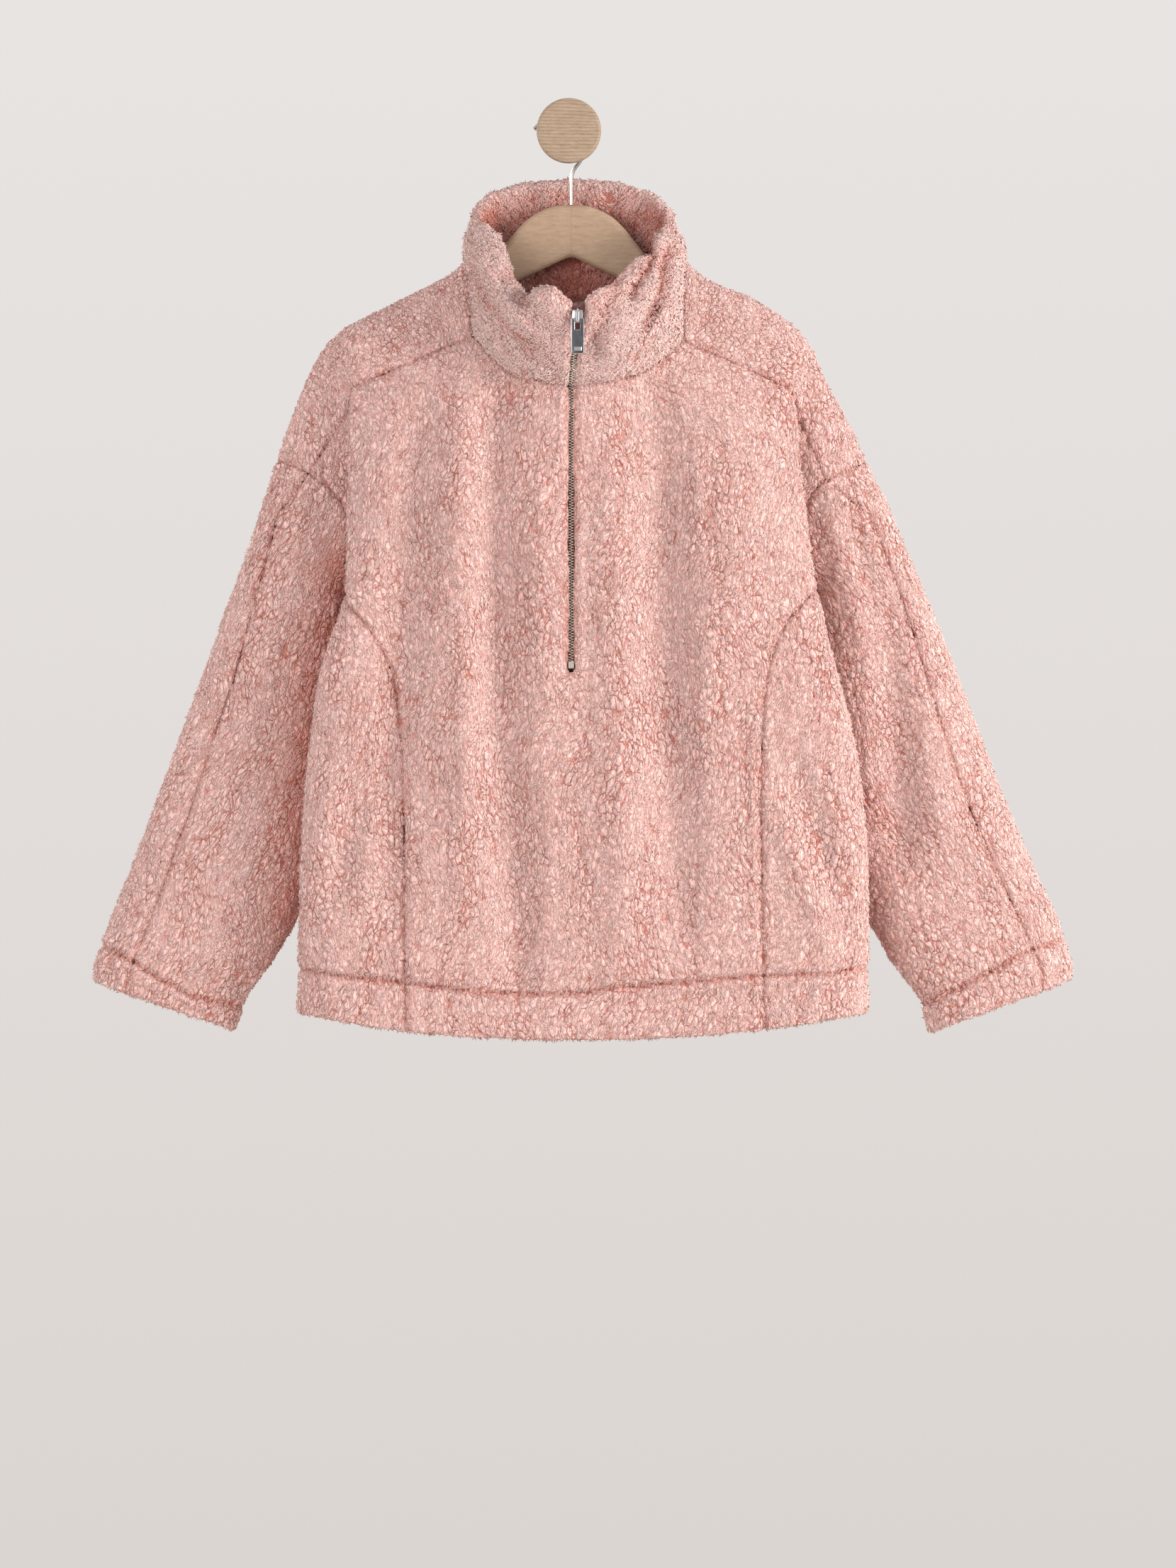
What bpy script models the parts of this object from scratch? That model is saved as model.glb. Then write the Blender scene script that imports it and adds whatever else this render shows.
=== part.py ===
"""Sherpa fleece pullover with a half zip, on a wooden hanger, hung from a round wall peg.

The frame is +Z up, +X to the viewer's right, and the front faces -Y.  The origin is
where the peg's post meets the wall, on the wall's face.  Sizes are in millimetres.

One skin is worked out for the whole garment, panel after panel, so that neighbours
share the points of their seam.  Each panel is then cut from the skin with half a seam
gap all round and given its wall.  "Out" is the distance from the garment's own middle.
"""
import math

import bmesh
import bpy
import numpy as np

MM = 0.001
LEFT, RIGHT = -1, 1
SIDES = {LEFT: "left", RIGHT: "right"}

# ------------------------------------------------------------------ driving sizes
AXIS_X = 2.2              # the garment's middle, beside the peg's
WALL = 5.0                # fleece, from its knitted back to the tips of the pile
HEM_EXTRA = 2.5           # the turned hem and cuffs are this much thicker
HALF_GAP = 0.17           # each panel stops this far short of its seam
SEAM_DIP = 1.3            # a seam pulls the pile in this far
STITCH_DIP = 2.0          # and so does the stitched line of a hem or cuff

BODY_TOP = -397.0         # height of the underarm
BODY_ROWS = (-819, -801, -781, -760, -730, -698, -664, -630, -596, -562, -530, -506,
             -494, -486, -463, -441, -425, -411, BODY_TOP)
STITCH_Z = -781.0
SLIT_Z = (-494.0, -486.0)  # the zip's slit starts to open, and is fully open
SLIT_HALF = 3.0
LINE_OUT = 89.0           # a line straight down from where shoulder and neck meet

NECK_CELLS = 4            # from the middle to that line
SLOPE_CELLS = 5           # from the line to the edge of the front
LOBE_CELLS = 5            # from that edge to the armhole
SIDE_CELLS = 12           # round a side panel
FRONT_ROWS = 9            # from the underarm to the shoulder seam
BACK_SHARES = (0, 0.13, 0.26, 0.40, 0.54, 0.68, 0.80, 0.88, 0.94, 1.0)   # underarm to shoulder top
WRAP_SHARES = (0, 0.25, 0.60, 1.0)   # the back's own strip, shoulder top to front seam
BACK_ROWS, WRAP_ROWS = len(BACK_SHARES) - 1, len(WRAP_SHARES) - 1

# Heights with the depths of the body's front, widest edge, the face behind that edge
# and its back, and how much higher the row sits at the edge than in the middle
DEPTHS = {
    "z":     (-819, -781, -756, -711, -660, -589, -536, -483, -440, -417, -397),
    "front": (-101, -99, -100, -99.5, -98.5, -97, -95.5, -94, -93, -92.5, -92),
    "edge":  (-61, -64, -66, -70, -72, -74, -75, -76, -76, -75, -74),
    "rear":  (-36, -38, -41, -46, -49, -52, -54, -55, -55, -54, -52),
    "back":  (-11, -10, -10, -10, -10, -9.5, -9.5, -9.5, -9.5, -9.5, -9.5),
    "bow":   (24, 21, 18, 12, 7, 3, 1, 0, 0, 0, 0)}

# Distances out of the silhouette, the curved seam of the side panel, and the hollow
# behind the edge where the sleeve tucks in
WIDTHS = {
    LEFT: {
        "z":     (-819, -781, -731, -660, -589, -536, -483, -451, -424, -397),
        "edge":  (249, 248, 247, 244.5, 240, 234, 226, 215, 206, 204),
        "seam":  (148, 149, 150, 150, 151, 154, 163, 180, 203, 204),
        "notch": (238, 230, 219, 200, 190, 187, 186, 187, 190, 197)},
    RIGHT: {
        "z":     (-819, -781, -731, -660, -589, -536, -483, -451, -424, -397),
        "edge":  (269, 270, 269, 268, 262, 253, 239, 231, 225, 220),
        "seam":  (174, 173, 172, 171, 171, 172, 178, 189, 207, 220),
        "notch": (257, 248, 236, 219, 208, 205, 203, 203, 205, 211)}}
UNDERARM_FRONT = -50.0    # depths between which the side panel meets the sleeve
UNDERARM_BACK = -17.0
UNDERARM_OUT = {LEFT: 200.0, RIGHT: 215.0}
UNDERARM_SQUASH = 0.6      # the share of its thickness that the wall loses in that fold
WRAP_START = -430.0       # the side seam starts to turn round the body's edge here

# Guide lines of the front above the underarm; share 0 is the underarm, 1 the top seam
FRONT_GUIDES = {
    LEFT: {
        "share":  (0.27, 0.53, 0.78, 1.0),
        "mid":    ((-91.5, -352), (-91, -308), (-91, -268), (-90, -231.5)),
        "line":   ((-91, -352), (-89, -302), (-82, -246), (-63, -185)),
        "edge":   ((203, -73, -357), (202, -71, -318), (201, -66, -274), (198, -59, -231)),
        "crease": ((196, -52, -362), (193, -50, -328), (193, -49, -292), (201, -48, -252)),
        "arm":    ((199, -48, -368), (206, -48, -338), (220, -50, -322), (237, -53, -309))},
    RIGHT: {
        "share":  (0.27, 0.53, 0.78, 1.0),
        "mid":    ((-91.5, -352), (-91, -308), (-91, -268), (-90, -231.5)),
        "line":   ((-91, -352), (-89, -302), (-82, -246), (-63, -189)),
        "edge":   ((214, -73, -357), (209, -71, -318), (205, -66, -274), (199, -59, -233)),
        "crease": ((207, -52, -362), (200, -50, -328), (197, -49, -292), (203, -48, -254)),
        "arm":    ((210, -48, -368), (211, -48, -340), (217, -50, -326), (230, -53, -315))}}
NECK_CURVE = ((0.47, -87.0, 0.15), (0.72, -79.0, 0.40))   # share out, depth, share of rise

# Guide lines of the back above the underarm; share 1 is the top of the shoulder
BACK_GUIDES = {
    "share": (0.30, 0.60, 0.82, 0.94, 1.0),
    "mid":   ((-9.5, -322), (-9.5, -252), (-11, -195), (-14, -163), (-15, -153)),
    "line":  ((-9.5, -318), (-9.5, -232), (-12, -158), (-18, -130), (-34, -115)),
    "slope": ((-9.5, -330), (-9.5, -270), (-12, -208), (-21, -179), (-34, -175)),
    "arm":   ((201, -12, -366), (217, -9.5, -342), (244, -11, -317), (262, -20, -300),
              (267.5, -34, -296))}
RIDGE = {                  # the shoulder's top, from the neck to the armhole
    LEFT: ((94, -115), (112.6, -129), (162, -154), (204, -175), (223, -191), (235, -210),
           (252, -253), (267.5, -296)),
    RIGHT: ((101, -113), (124, -133), (164, -148), (204, -176), (220, -197), (229, -221),
            (250, -259), (268.5, -298))}
RIDGE_Y = -34.0
RIDGE_SLOPE_POINTS = 4     # so many of them lie between the neck and the shoulder point

# Sleeves: outer and inner edge as (out, z) down to the cuff, and where across the front
# the long seam runs, as a share of the way from the outer to the inner edge
SLEEVES = {
    LEFT: {
        "outer": ((278, -329), (288.6, -366), (301.4, -401), (315.5, -439), (330, -480),
                  (345.6, -521), (361, -564), (377, -606), (392, -647), (407, -686),
                  (419, -715), (428, -737), (432, -752), (432, -768)),
        "inner": ((203, -423), (204.2, -451), (204.2, -483), (205, -516), (207, -551),
                  (210.6, -585), (216, -619), (224.6, -651), (235.5, -683), (249, -715),
                  (268, -747), (290.6, -780), (297, -796), (304, -812)),
        "seam":  (0.17, 0.17, 0.18, 0.19, 0.20, 0.20, 0.20, 0.21, 0.21, 0.22, 0.23, 0.24,
                  0.24, 0.23)},
    RIGHT: {
        "outer": ((284, -329), (299, -366), (314, -401), (330, -439), (346, -480),
                  (361.6, -521), (377.6, -564), (394, -606), (412, -647), (429, -686),
                  (442, -714), (450, -735), (454, -750), (453, -766)),
        "inner": ((218, -423), (220.2, -451), (221.4, -483), (222, -516), (223.4, -551),
                  (226.6, -585), (232, -619), (240, -651), (252, -683), (269, -715),
                  (288, -749), (313, -783), (318, -798), (322, -814)),
        "seam":  (0.20, 0.19, 0.19, 0.19, 0.20, 0.21, 0.21, 0.21, 0.21, 0.21, 0.21, 0.21,
                  0.21, 0.21)}}
SLEEVE_FRONT = (-52, -52, -52, -52, -52, -52, -53, -54, -55, -57, -58, -59, -60, -61)
SLEEVE_BACK = -8.5
SLEEVE_STITCH = 11         # the row of the cuff's stitched line
SLEEVE_ROUND = 2.5         # how square the sleeve's flattened tube is
UNDERARM_TURN = 42.0       # degrees of that tube on each side of its inner edge

# The collar's rolled rim: share of the way from the zip to the middle of the back
COLLAR_RIM = {
    LEFT: ((0.0, -0.3, -112, -164), (0.12, 20, -114, -148), (0.25, 45, -105, -151),
           (0.42, 70, -84, -134), (0.55, 84, -60, -106), (0.68, 86, -38, -80),
           (0.80, 73, -21, -62), (0.90, 42, -14, -52), (1.0, 0, -12, -49)),
    RIGHT: ((0.0, 12.6, -112, -160), (0.12, 27, -113, -153), (0.25, 47, -104, -143),
            (0.42, 70, -84, -124), (0.55, 86, -60, -106), (0.68, 90, -38, -84),
            (0.80, 75, -21, -63), (0.90, 42, -14, -52), (1.0, 0, -12, -49))}
RIM_HALF = 6.5             # half the doubled collar's thickness
COLLAR_CENTRE_Y = -60.0
COLLAR_BULGE = 9.0
COLLAR_GAP = 0.3
ZIP_LEAN = 6.4             # the zip's top stands this far to the right
SLIDER_LEAN = 5.7

# Soft upright folds of the front: where they start and end, half width and depth
FRONT_FOLDS = (
    # out top, z top, out bottom, z bottom, half width, depth (+ is a hollow)
    (-68, -262, -70, -545, 9, 3.6),
    (-89, -262, -93, -600, 9, -2.6),
    (-134, -285, -150, -500, 12, 3.0),
    (-116, -300, -121, -520, 9, -1.8),
    (92, -280, 94, -560, 10, 2.4),
    (120, -300, 118, -560, 12, -1.8),
    (36, -560, 40, -760, 15, -1.8),
    (-40, -600, -46, -760, 16, 2.0),
    (200, -600, 240, -715, 12, 3.0),
    (-205, -560, -190, -700, 14, 2.4))

# What holds it up
POST_RADIUS, POST_LENGTH = 9.0, 46.0
DISC_RADIUS, DISC_THICK = 29.2, 16.0
HOOK_RADIUS = 1.75
HANGER_Y, HANGER_THICK = -34.0, 10.5
HANGER_CROWN = -66.0       # top of the arch
HANGER_NOTCH = -112.0      # the V under the arch
HANGER_END = 191.0
HANGER_CLEAR = 2.5         # under the fleece's inner face, at the arm's rounded crest
HANGER_TIP = ((-8, -7), (-2, -15), (0, -24), (-4, -32), (-12, -35))


# ------------------------------------------------------------------ curves
def unit(vector):
    return vector / max(np.linalg.norm(vector), 1e-9)


def at(knots, values, where):
    """Reads rows of values at a place between knots, without corners at the knots."""
    knots, values = np.asarray(knots, float), np.asarray(values, float)
    i = int(np.clip(np.searchsorted(knots, where) - 1, 0, len(knots) - 2))
    slope = [(values[k + 1] - values[k]) / (knots[k + 1] - knots[k]) for k in range(len(knots) - 1)]

    def tangent(k):
        return slope[0] if k == 0 else slope[-1] if k == len(knots) - 1 else (slope[k - 1] + slope[k]) / 2

    span = knots[i + 1] - knots[i]
    t = np.clip((where - knots[i]) / span, 0, 1)
    return ((2 * t**3 - 3 * t**2 + 1) * values[i] + (t**3 - 2 * t**2 + t) * span * tangent(i)
            + (3 * t**2 - 2 * t**3) * values[i + 1] + (t**3 - t**2) * span * tangent(i + 1))


def smooth(points, steps=8):
    """A curve through the points, as many short straight pieces."""
    points = np.asarray(points, float)
    knots = np.concatenate([[0], np.cumsum(np.sqrt(np.linalg.norm(np.diff(points, axis=0), axis=1)))])
    places = [k0 + (k1 - k0) * i / steps for k0, k1 in zip(knots, knots[1:]) for i in range(steps)]
    return np.array([at(knots, points, place) for place in places + [knots[-1]]])


def arcs(curve):
    return np.concatenate([[0], np.cumsum(np.linalg.norm(np.diff(curve, axis=0), axis=1))])


def point_at(curve, arc):
    along = arcs(curve)
    return np.array([np.interp(arc, along, curve[:, k]) for k in range(curve.shape[1])])


def spread(curve, start, end, cells, bend=9.0):
    """Splits a stretch of a curve into cells, shorter where it turns more."""
    along = arcs(curve)
    inside = np.linspace(start, end, 12 * cells + 1)
    points = np.array([[np.interp(a, along, curve[:, k]) for k in range(curve.shape[1])] for a in inside])
    steps = np.diff(points, axis=0)
    heading = steps / np.maximum(np.linalg.norm(steps, axis=1), 1e-9)[:, None]
    turn = np.linalg.norm(np.diff(heading, axis=0, prepend=heading[:1]), axis=1)
    turn = np.convolve(turn, np.ones(5) / 5, mode="same")
    cost = np.concatenate([[0], np.cumsum(np.linalg.norm(steps, axis=1) + bend * turn)])
    places = np.interp(np.linspace(0, cost[-1], cells + 1), cost, inside)
    return np.array([point_at(curve, place) for place in places])


# ------------------------------------------------------------------ the body's sections
def depths(z):
    return {name: at(DEPTHS["z"], DEPTHS[name], z) for name in ("front", "edge", "rear", "back", "bow")}


def widths(side, z):
    table = WIDTHS[side]
    return {name: at(table["z"], table[name], z) for name in ("edge", "seam", "notch")}


def half_section(side, z):
    """Half of the body's level section, front middle to back middle, as (out, depth)."""
    deep, wide = depths(z), widths(side, z)
    edge, notch = wide["edge"], wide["notch"]
    front, rear, back = deep["front"], deep["rear"], deep["back"]

    def behind(share):
        return rear + (back - rear) * share

    return smooth([
        (0, front), (edge * 0.35, front), (edge * 0.68, front + 1), (edge - 26, front + 4),
        (edge - 8, front + (deep["edge"] - front) * 0.4), (edge, deep["edge"]),
        (edge - 4, deep["edge"] + (rear - deep["edge"]) * 0.6), ((edge + notch) / 2, rear),
        (notch + 3, behind(0.28)), (notch, behind(0.5)), (notch - 5, behind(0.78)),
        (notch - 16, back - 2), (notch - 40, back), (notch * 0.45, back), (0, back)])


def slit(z):
    return SLIT_HALF * np.clip((z - SLIT_Z[0]) / (SLIT_Z[1] - SLIT_Z[0]), 0, 1)


def body_row(side, z):
    """One level row of the body as three runs of (out, depth, z): front, side and back."""
    curve, wide, bow = half_section(side, z), widths(side, z), depths(z)["bow"]
    along, out, deep = arcs(curve), curve[:, 0], curve[:, 1]
    widest = int(np.argmax(out))

    def front_arc(distance):
        return np.interp(distance, out[:widest + 1], along[:widest + 1])

    def back_arc(distance):
        return np.interp(-distance, -out[widest:], along[widest:])

    def depth_arc(depth):
        return np.interp(depth, deep[widest:widest + 60], along[widest:widest + 60])

    turn = np.clip((z - WRAP_START) / (BODY_TOP - WRAP_START), 0, 1)
    seam = front_arc(min(wide["seam"], wide["edge"]))
    seam += (depth_arc(UNDERARM_FRONT) - seam) * turn**1.25
    rise = np.clip((z + 480) / (BODY_TOP + 480), 0, 1)**2
    rear_seam = back_arc(min(wide["seam"], wide["notch"] - 34))
    rear_seam += (depth_arc(UNDERARM_BACK) - rear_seam) * rise
    line, rear_line = front_arc(LINE_OUT), back_arc(LINE_OUT)
    split = line + (seam - line) * (0.5 + 0.27 * turn)
    rear_split = rear_line + (rear_seam - rear_line) * 0.6
    front = np.vstack([spread(curve, front_arc(slit(z)), line, NECK_CELLS),
                       spread(curve, line, split, SLOPE_CELLS)[1:],
                       spread(curve, split, seam, LOBE_CELLS)[1:]])
    back = np.vstack([spread(curve, along[-1], rear_line, NECK_CELLS),
                      spread(curve, rear_line, rear_split, SLOPE_CELLS)[1:],
                      spread(curve, rear_split, rear_seam, LOBE_CELLS)[1:]])
    flank = spread(curve, seam, rear_seam, SIDE_CELLS)
    flank[0], flank[-1] = front[-1], back[-1]

    def lift(run):
        rise = bow * np.clip(run[:, 0] / wide["edge"], 0, 1)**2.2
        return np.column_stack([run, z + rise])

    return lift(front), lift(flank), lift(back)


def joined(first, second, third):
    """Three stretches of one row, each split into its own number of cells."""
    runs = [spread(curve, 0, arcs(curve)[-1], cells, bend)
            for curve, cells, bend in ((first, NECK_CELLS, 9), (second, SLOPE_CELLS, 9),
                                       (third, LOBE_CELLS, 14))]
    return np.vstack([runs[0], runs[1][1:], runs[2][1:]])


def front_guide(side, k):
    guide = FRONT_GUIDES[side]
    (mid_y, mid_z), (line_y, line_z) = guide["mid"][k], guide["line"][k]
    line_out = LINE_OUT + (12 if side == RIGHT else 0) * guide["share"][k]**4
    edge, crease, arm = (np.array(guide[name][k], float) for name in ("edge", "crease", "arm"))
    line = np.array((line_out, line_y, line_z), float)
    curve = guide["share"][k]**6
    neck = [(SLIT_HALF, mid_y, mid_z)]
    for out, deep, rise in NECK_CURVE:
        straight_y, straight_z = mid_y + (line_y - mid_y) * out, mid_z + (line_z - mid_z) * out
        neck.append((line_out * out, straight_y + (deep - straight_y) * curve,
                     straight_z + (mid_z + (line_z - mid_z) * rise - straight_z) * curve))
    neck.append(line)
    slope = [line, line * 0.45 + edge * 0.55 + (0, (line_y - edge[1]) * 0.35, 0),
             line * 0.12 + edge * 0.88 + (0, (line_y - edge[1]) * 0.30, 0), edge]
    lobe = [edge, edge * 0.6 + crease * 0.4 + (1.5, 2, 0), crease, (crease + arm) / 2 + (0, -1, 0), arm]
    return joined(smooth(neck), smooth(slope), smooth(lobe))


def ridge_row(side):
    points = [(out, RIDGE_Y, z) for out, z in RIDGE[side]]
    neck_point = np.array(points[0], float)
    back_y, back_z = BACK_GUIDES["mid"][-1]
    neck = [(0, back_y, back_z), (34, back_y, back_z + 2), (66, back_y - 0.5, back_z + 12),
            (neck_point[0] * 0.88, back_y - 6, back_z + 27), neck_point]
    k = RIDGE_SLOPE_POINTS
    return joined(smooth(neck), smooth(points[:k]), smooth(points[k - 1:]))


def back_guide(side, k):
    share = BACK_GUIDES["share"][k]
    if share == 1.0:
        return ridge_row(side)
    (mid_y, mid_z), (line_y, line_z) = BACK_GUIDES["mid"][k], BACK_GUIDES["line"][k]
    slope_y, slope_z = BACK_GUIDES["slope"][k]
    arm = np.array(BACK_GUIDES["arm"][k], float)
    if side == RIGHT:
        arm[0] += 11 * (1 - share)**0.7
    line = np.array((LINE_OUT + 4 * share, line_y, line_z))
    slope = np.array((180 + 20 * share, slope_y, slope_z))
    neck = [(0, mid_y, mid_z), (line[0] * 0.5, mid_y, mid_z + (line_z - mid_z) * 0.22), line]
    rounded = np.array((0, 0, (6 if side == RIGHT else 3.5) * share**6))
    return joined(smooth(neck), smooth([line, (line + slope) / 2 + rounded, slope]),
                  smooth([slope, (slope + arm) / 2 + (4, 0, 3), arm]))


def lofted(first, guides, shares, places):
    """Rows between the first row and the last guide, through all the guides."""
    rows = np.array([first] + guides)
    return [at((0.0,) + tuple(shares), rows, place) for place in places]


def shoulder_strip(side, ridge, seam):
    """The back's strip over the shoulder: rows from its top down to the front seam."""
    rows = []
    start = NECK_CELLS
    for t in WRAP_SHARES:
        top, low = ridge[start:], seam[start:]
        corner = np.column_stack([top[:, 0] * 0.8 + low[:, 0] * 0.2, low[:, 1] + 4,
                                  top[:, 2] * 0.93 + low[:, 2] * 0.07])
        rows.append((1 - t)**2 * top + 2 * t * (1 - t) * corner + t * t * low)
    return rows


# ------------------------------------------------------------------ the skin
class Skin:
    """The garment's outer face: points, four-sided cells, and the panel of each cell."""

    def __init__(self):
        self.points, self.cells, self.panels, self.extra, self.dip, self.index = [], [], [], [], [], {}
        self.turned = {}       # points whose facing is given

    def point(self, place, extra=0.0, dip=0.0):
        key = tuple(np.round(np.asarray(place) * 50).astype(int))
        if key not in self.index:
            self.index[key] = len(self.points)
            self.points.append(np.asarray(place, float))
            self.extra.append(extra)
            self.dip.append(dip)
        k = self.index[key]
        self.extra[k], self.dip[k] = max(self.extra[k], extra), max(self.dip[k], dip)
        return k

    def grid(self, rows, panel_of, inside, extras=None, dips=None):
        """Adds rows of points; panel_of names the panel of each column of cells."""
        extras, dips = extras or [0] * len(rows), dips or [0] * len(rows)
        keys = [[self.point(p, e, d) for p in row] for row, e, d in zip(rows, extras, dips)]
        facing, made = 0.0, []
        for r in range(len(rows) - 1):
            for c in range(len(rows[0]) - 1):
                cell = [keys[r][c], keys[r][c + 1], keys[r + 1][c + 1], keys[r + 1][c]]
                a, b, d, e = (self.points[k] for k in cell)
                facing += np.dot(np.cross(d - a, e - b), (a + b + d + e) / 4 - inside[r])
                made.append((cell, panel_of(c)))
        for cell, panel in made:
            self.cells.append(cell if facing > 0 else cell[::-1])
            self.panels.append(panel)

    def finish(self):
        """Works out each point's facing; where panels meet, midway between the panels'."""
        self.points = np.array(self.points)
        facing = {}
        for cell, panel in zip(self.cells, self.panels):
            a, b, c, d = (self.points[k] for k in cell)
            for k in cell:
                own = facing.setdefault(k, {})
                own[panel] = own.get(panel, 0) + np.cross(c - a, d - b)
        self.normals = np.array([self.turned.get(k, unit(sum(unit(way) for way in facing[k].values())))
                                 for k in range(len(self.points))])
        self.sides = {}
        for n, cell in enumerate(self.cells):
            for a, b in zip(cell, cell[1:] + cell[:1]):
                self.sides.setdefault(frozenset((a, b)), []).append(n)


def placed(side, run):
    """Turns (out, depth, z) into world places, with the front's soft folds."""
    world = np.column_stack([AXIS_X + side * run[:, 0], run[:, 1], run[:, 2]])
    for out_top, z_top, out_low, z_low, half, depth in FRONT_FOLDS:
        middle = AXIS_X + np.interp(world[:, 2], (z_low, z_top), (out_low, out_top))
        reach = np.interp(world[:, 2], (z_low - 50, z_low, z_top, z_top + 40), (0, 1, 1, 0))
        facing = np.clip((-world[:, 1] - 72) / 14, 0, 1)
        world[:, 1] += depth * reach * facing * np.exp(-((world[:, 0] - middle) / half)**2)
    return world


def sleeve_ring(side, k, counts):
    """One ring of a sleeve, round from the outer edge: shoulder, front, underarm, back."""
    table = SLEEVES[side]
    outer, inner = np.array(table["outer"][k], float), np.array(table["inner"][k], float)
    deep = (SLEEVE_BACK - SLEEVE_FRONT[k]) / 2
    middle_y = (SLEEVE_BACK + SLEEVE_FRONT[k]) / 2

    def ring_point(angle):
        across = np.sign(math.cos(angle)) * abs(math.cos(angle))**(2 / SLEEVE_ROUND)
        forward = np.sign(math.sin(angle)) * abs(math.sin(angle))**(2 / SLEEVE_ROUND)
        out, z = outer + (inner - outer) * (1 - across) / 2
        return out, middle_y - deep * forward, z

    seam_across = 1 - 2 * table["seam"][k]
    seam_angle = math.acos(min(1.0, seam_across**(SLEEVE_ROUND / 2)))
    turn = math.radians(UNDERARM_TURN)
    marks = (0.0, seam_angle, math.pi - turn, math.pi + turn, 2 * math.pi)
    ring = []
    for start, end, cells in zip(marks, marks[1:], counts):
        curve = np.array([ring_point(start + (end - start) * i / 40) for i in range(41)])
        ring.extend(spread(curve, 0, arcs(curve)[-1], cells, 4)[:-1])
    return np.array(ring + ring[:1])


def panel_skin():
    """Builds the skin; also returns the neck's edge and the shoulders' tops."""
    skin = Skin()
    hem_extra = [HEM_EXTRA if z <= STITCH_Z else 0 for z in BODY_ROWS]
    hem_dip = [STITCH_DIP if z == STITCH_Z else 0 for z in BODY_ROWS]
    neck, ridges = {}, {}
    for side, word in SIDES.items():
        rows = [body_row(side, z) for z in BODY_ROWS]
        inside = [np.array((AXIS_X, -50.0, z)) for z in BODY_ROWS]
        front_rows, flank_rows, back_rows = ([placed(side, row[k]) for row in rows] for k in range(3))
        skin.grid(front_rows, lambda c: "front", inside, hem_extra, hem_dip)
        skin.grid(flank_rows, lambda c: "side_" + word, inside, hem_extra, hem_dip)
        skin.grid(back_rows, lambda c: "back", inside, hem_extra, hem_dip)

        guides = [front_guide(side, k) for k in range(4)]
        upper = lofted(rows[-1][0], guides, FRONT_GUIDES[side]["share"], np.linspace(0, 1, FRONT_ROWS + 1))
        for row in upper:
            row[0, 0] = SLIT_HALF
        behind = [back_guide(side, k) for k in range(5)]
        rear = lofted(rows[-1][2], behind, BACK_GUIDES["share"], BACK_SHARES)
        strip = shoulder_strip(side, rear[-1], upper[-1])
        chest = [placed(side, row) for row in upper]
        chest[0] = front_rows[-1]
        nape = [placed(side, row) for row in rear]
        nape[0] = back_rows[-1]
        over = [placed(side, row) for row in strip]
        over[0], over[-1] = nape[-1][NECK_CELLS:], chest[-1][NECK_CELLS:]
        centre = [np.array((AXIS_X, -45.0, BODY_TOP + 15 * k)) for k in range(FRONT_ROWS + 1)]
        skin.grid(chest, lambda c: "front", centre)
        skin.grid(nape, lambda c: "back", centre)
        under = [np.array((AXIS_X + side * 150, -34.0, -330.0))] * (WRAP_ROWS + 1)
        skin.grid(over, lambda c: "back", under)

        armhole = ([row[-1] for row in over] + [row[-1] for row in chest[-2::-1]]
                   + list(flank_rows[-1][1:]) + [row[-1] for row in nape[1:]])
        counts = (WRAP_ROWS, FRONT_ROWS, SIDE_CELLS, BACK_ROWS)
        stations = len(SLEEVES[side]["outer"])
        rings = [np.array(armhole)]
        rings += [placed(side, sleeve_ring(side, k, counts)) for k in range(stations)]
        underarm = WRAP_ROWS + FRONT_ROWS + SIDE_CELLS // 2
        for k, place in enumerate(flank_rows[-1]):      # the fold of the underarm faces into itself
            body, sleeve = flank_rows[-2][k] - place, rings[1][WRAP_ROWS + FRONT_ROWS + k] - place
            facing = unit((unit(body) + unit(sleeve)) * (1, 0, 1))
            facing[1] = np.interp(k, (0, SIDE_CELLS), (-0.45, 0.6))
            skin.turned[skin.point(place)] = unit(facing)
        sleeve_names = {True: "sleeve_front_" + word, False: "sleeve_back_" + word}
        extras = [0] + [HEM_EXTRA if k >= SLEEVE_STITCH else 0 for k in range(stations)]
        dips = [0] + [STITCH_DIP if k == SLEEVE_STITCH else 0 for k in range(stations)]
        skin.grid(rings, lambda c: sleeve_names[WRAP_ROWS <= c < underarm],
                  [ring.mean(axis=0) for ring in rings], extras, dips)
        ridges[side] = over[0]
        neck[side] = (list(chest[-1][:NECK_CELLS + 1]) + [row[0] for row in over[-2::-1]]
                      + list(nape[-1][NECK_CELLS - 1::-1]))
    skin.finish()
    return skin, neck, ridges


# ------------------------------------------------------------------ solids
def material(name, colour, roughness, metallic=0.0):
    made = bpy.data.materials.new(name)
    made.use_nodes = True
    shader = made.node_tree.nodes["Principled BSDF"]
    shader.inputs["Base Color"].default_value = (*colour, 1)
    shader.inputs["Roughness"].default_value = roughness
    shader.inputs["Metallic"].default_value = metallic
    return made


def solid(name, points, faces, finish, smooth_angle=40):
    """One closed mesh object from places in millimetres and its faces."""
    mesh = bpy.data.meshes.new(name)
    mesh.from_pydata([tuple(np.asarray(p) * MM) for p in points], [], [list(f) for f in faces])
    mesh.materials.append(finish)
    mesh.shade_smooth()
    mesh.set_sharp_from_angle(angle=math.radians(smooth_angle))
    made = bpy.data.objects.new(name, mesh)
    bpy.context.scene.collection.objects.link(made)
    return made


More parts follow.
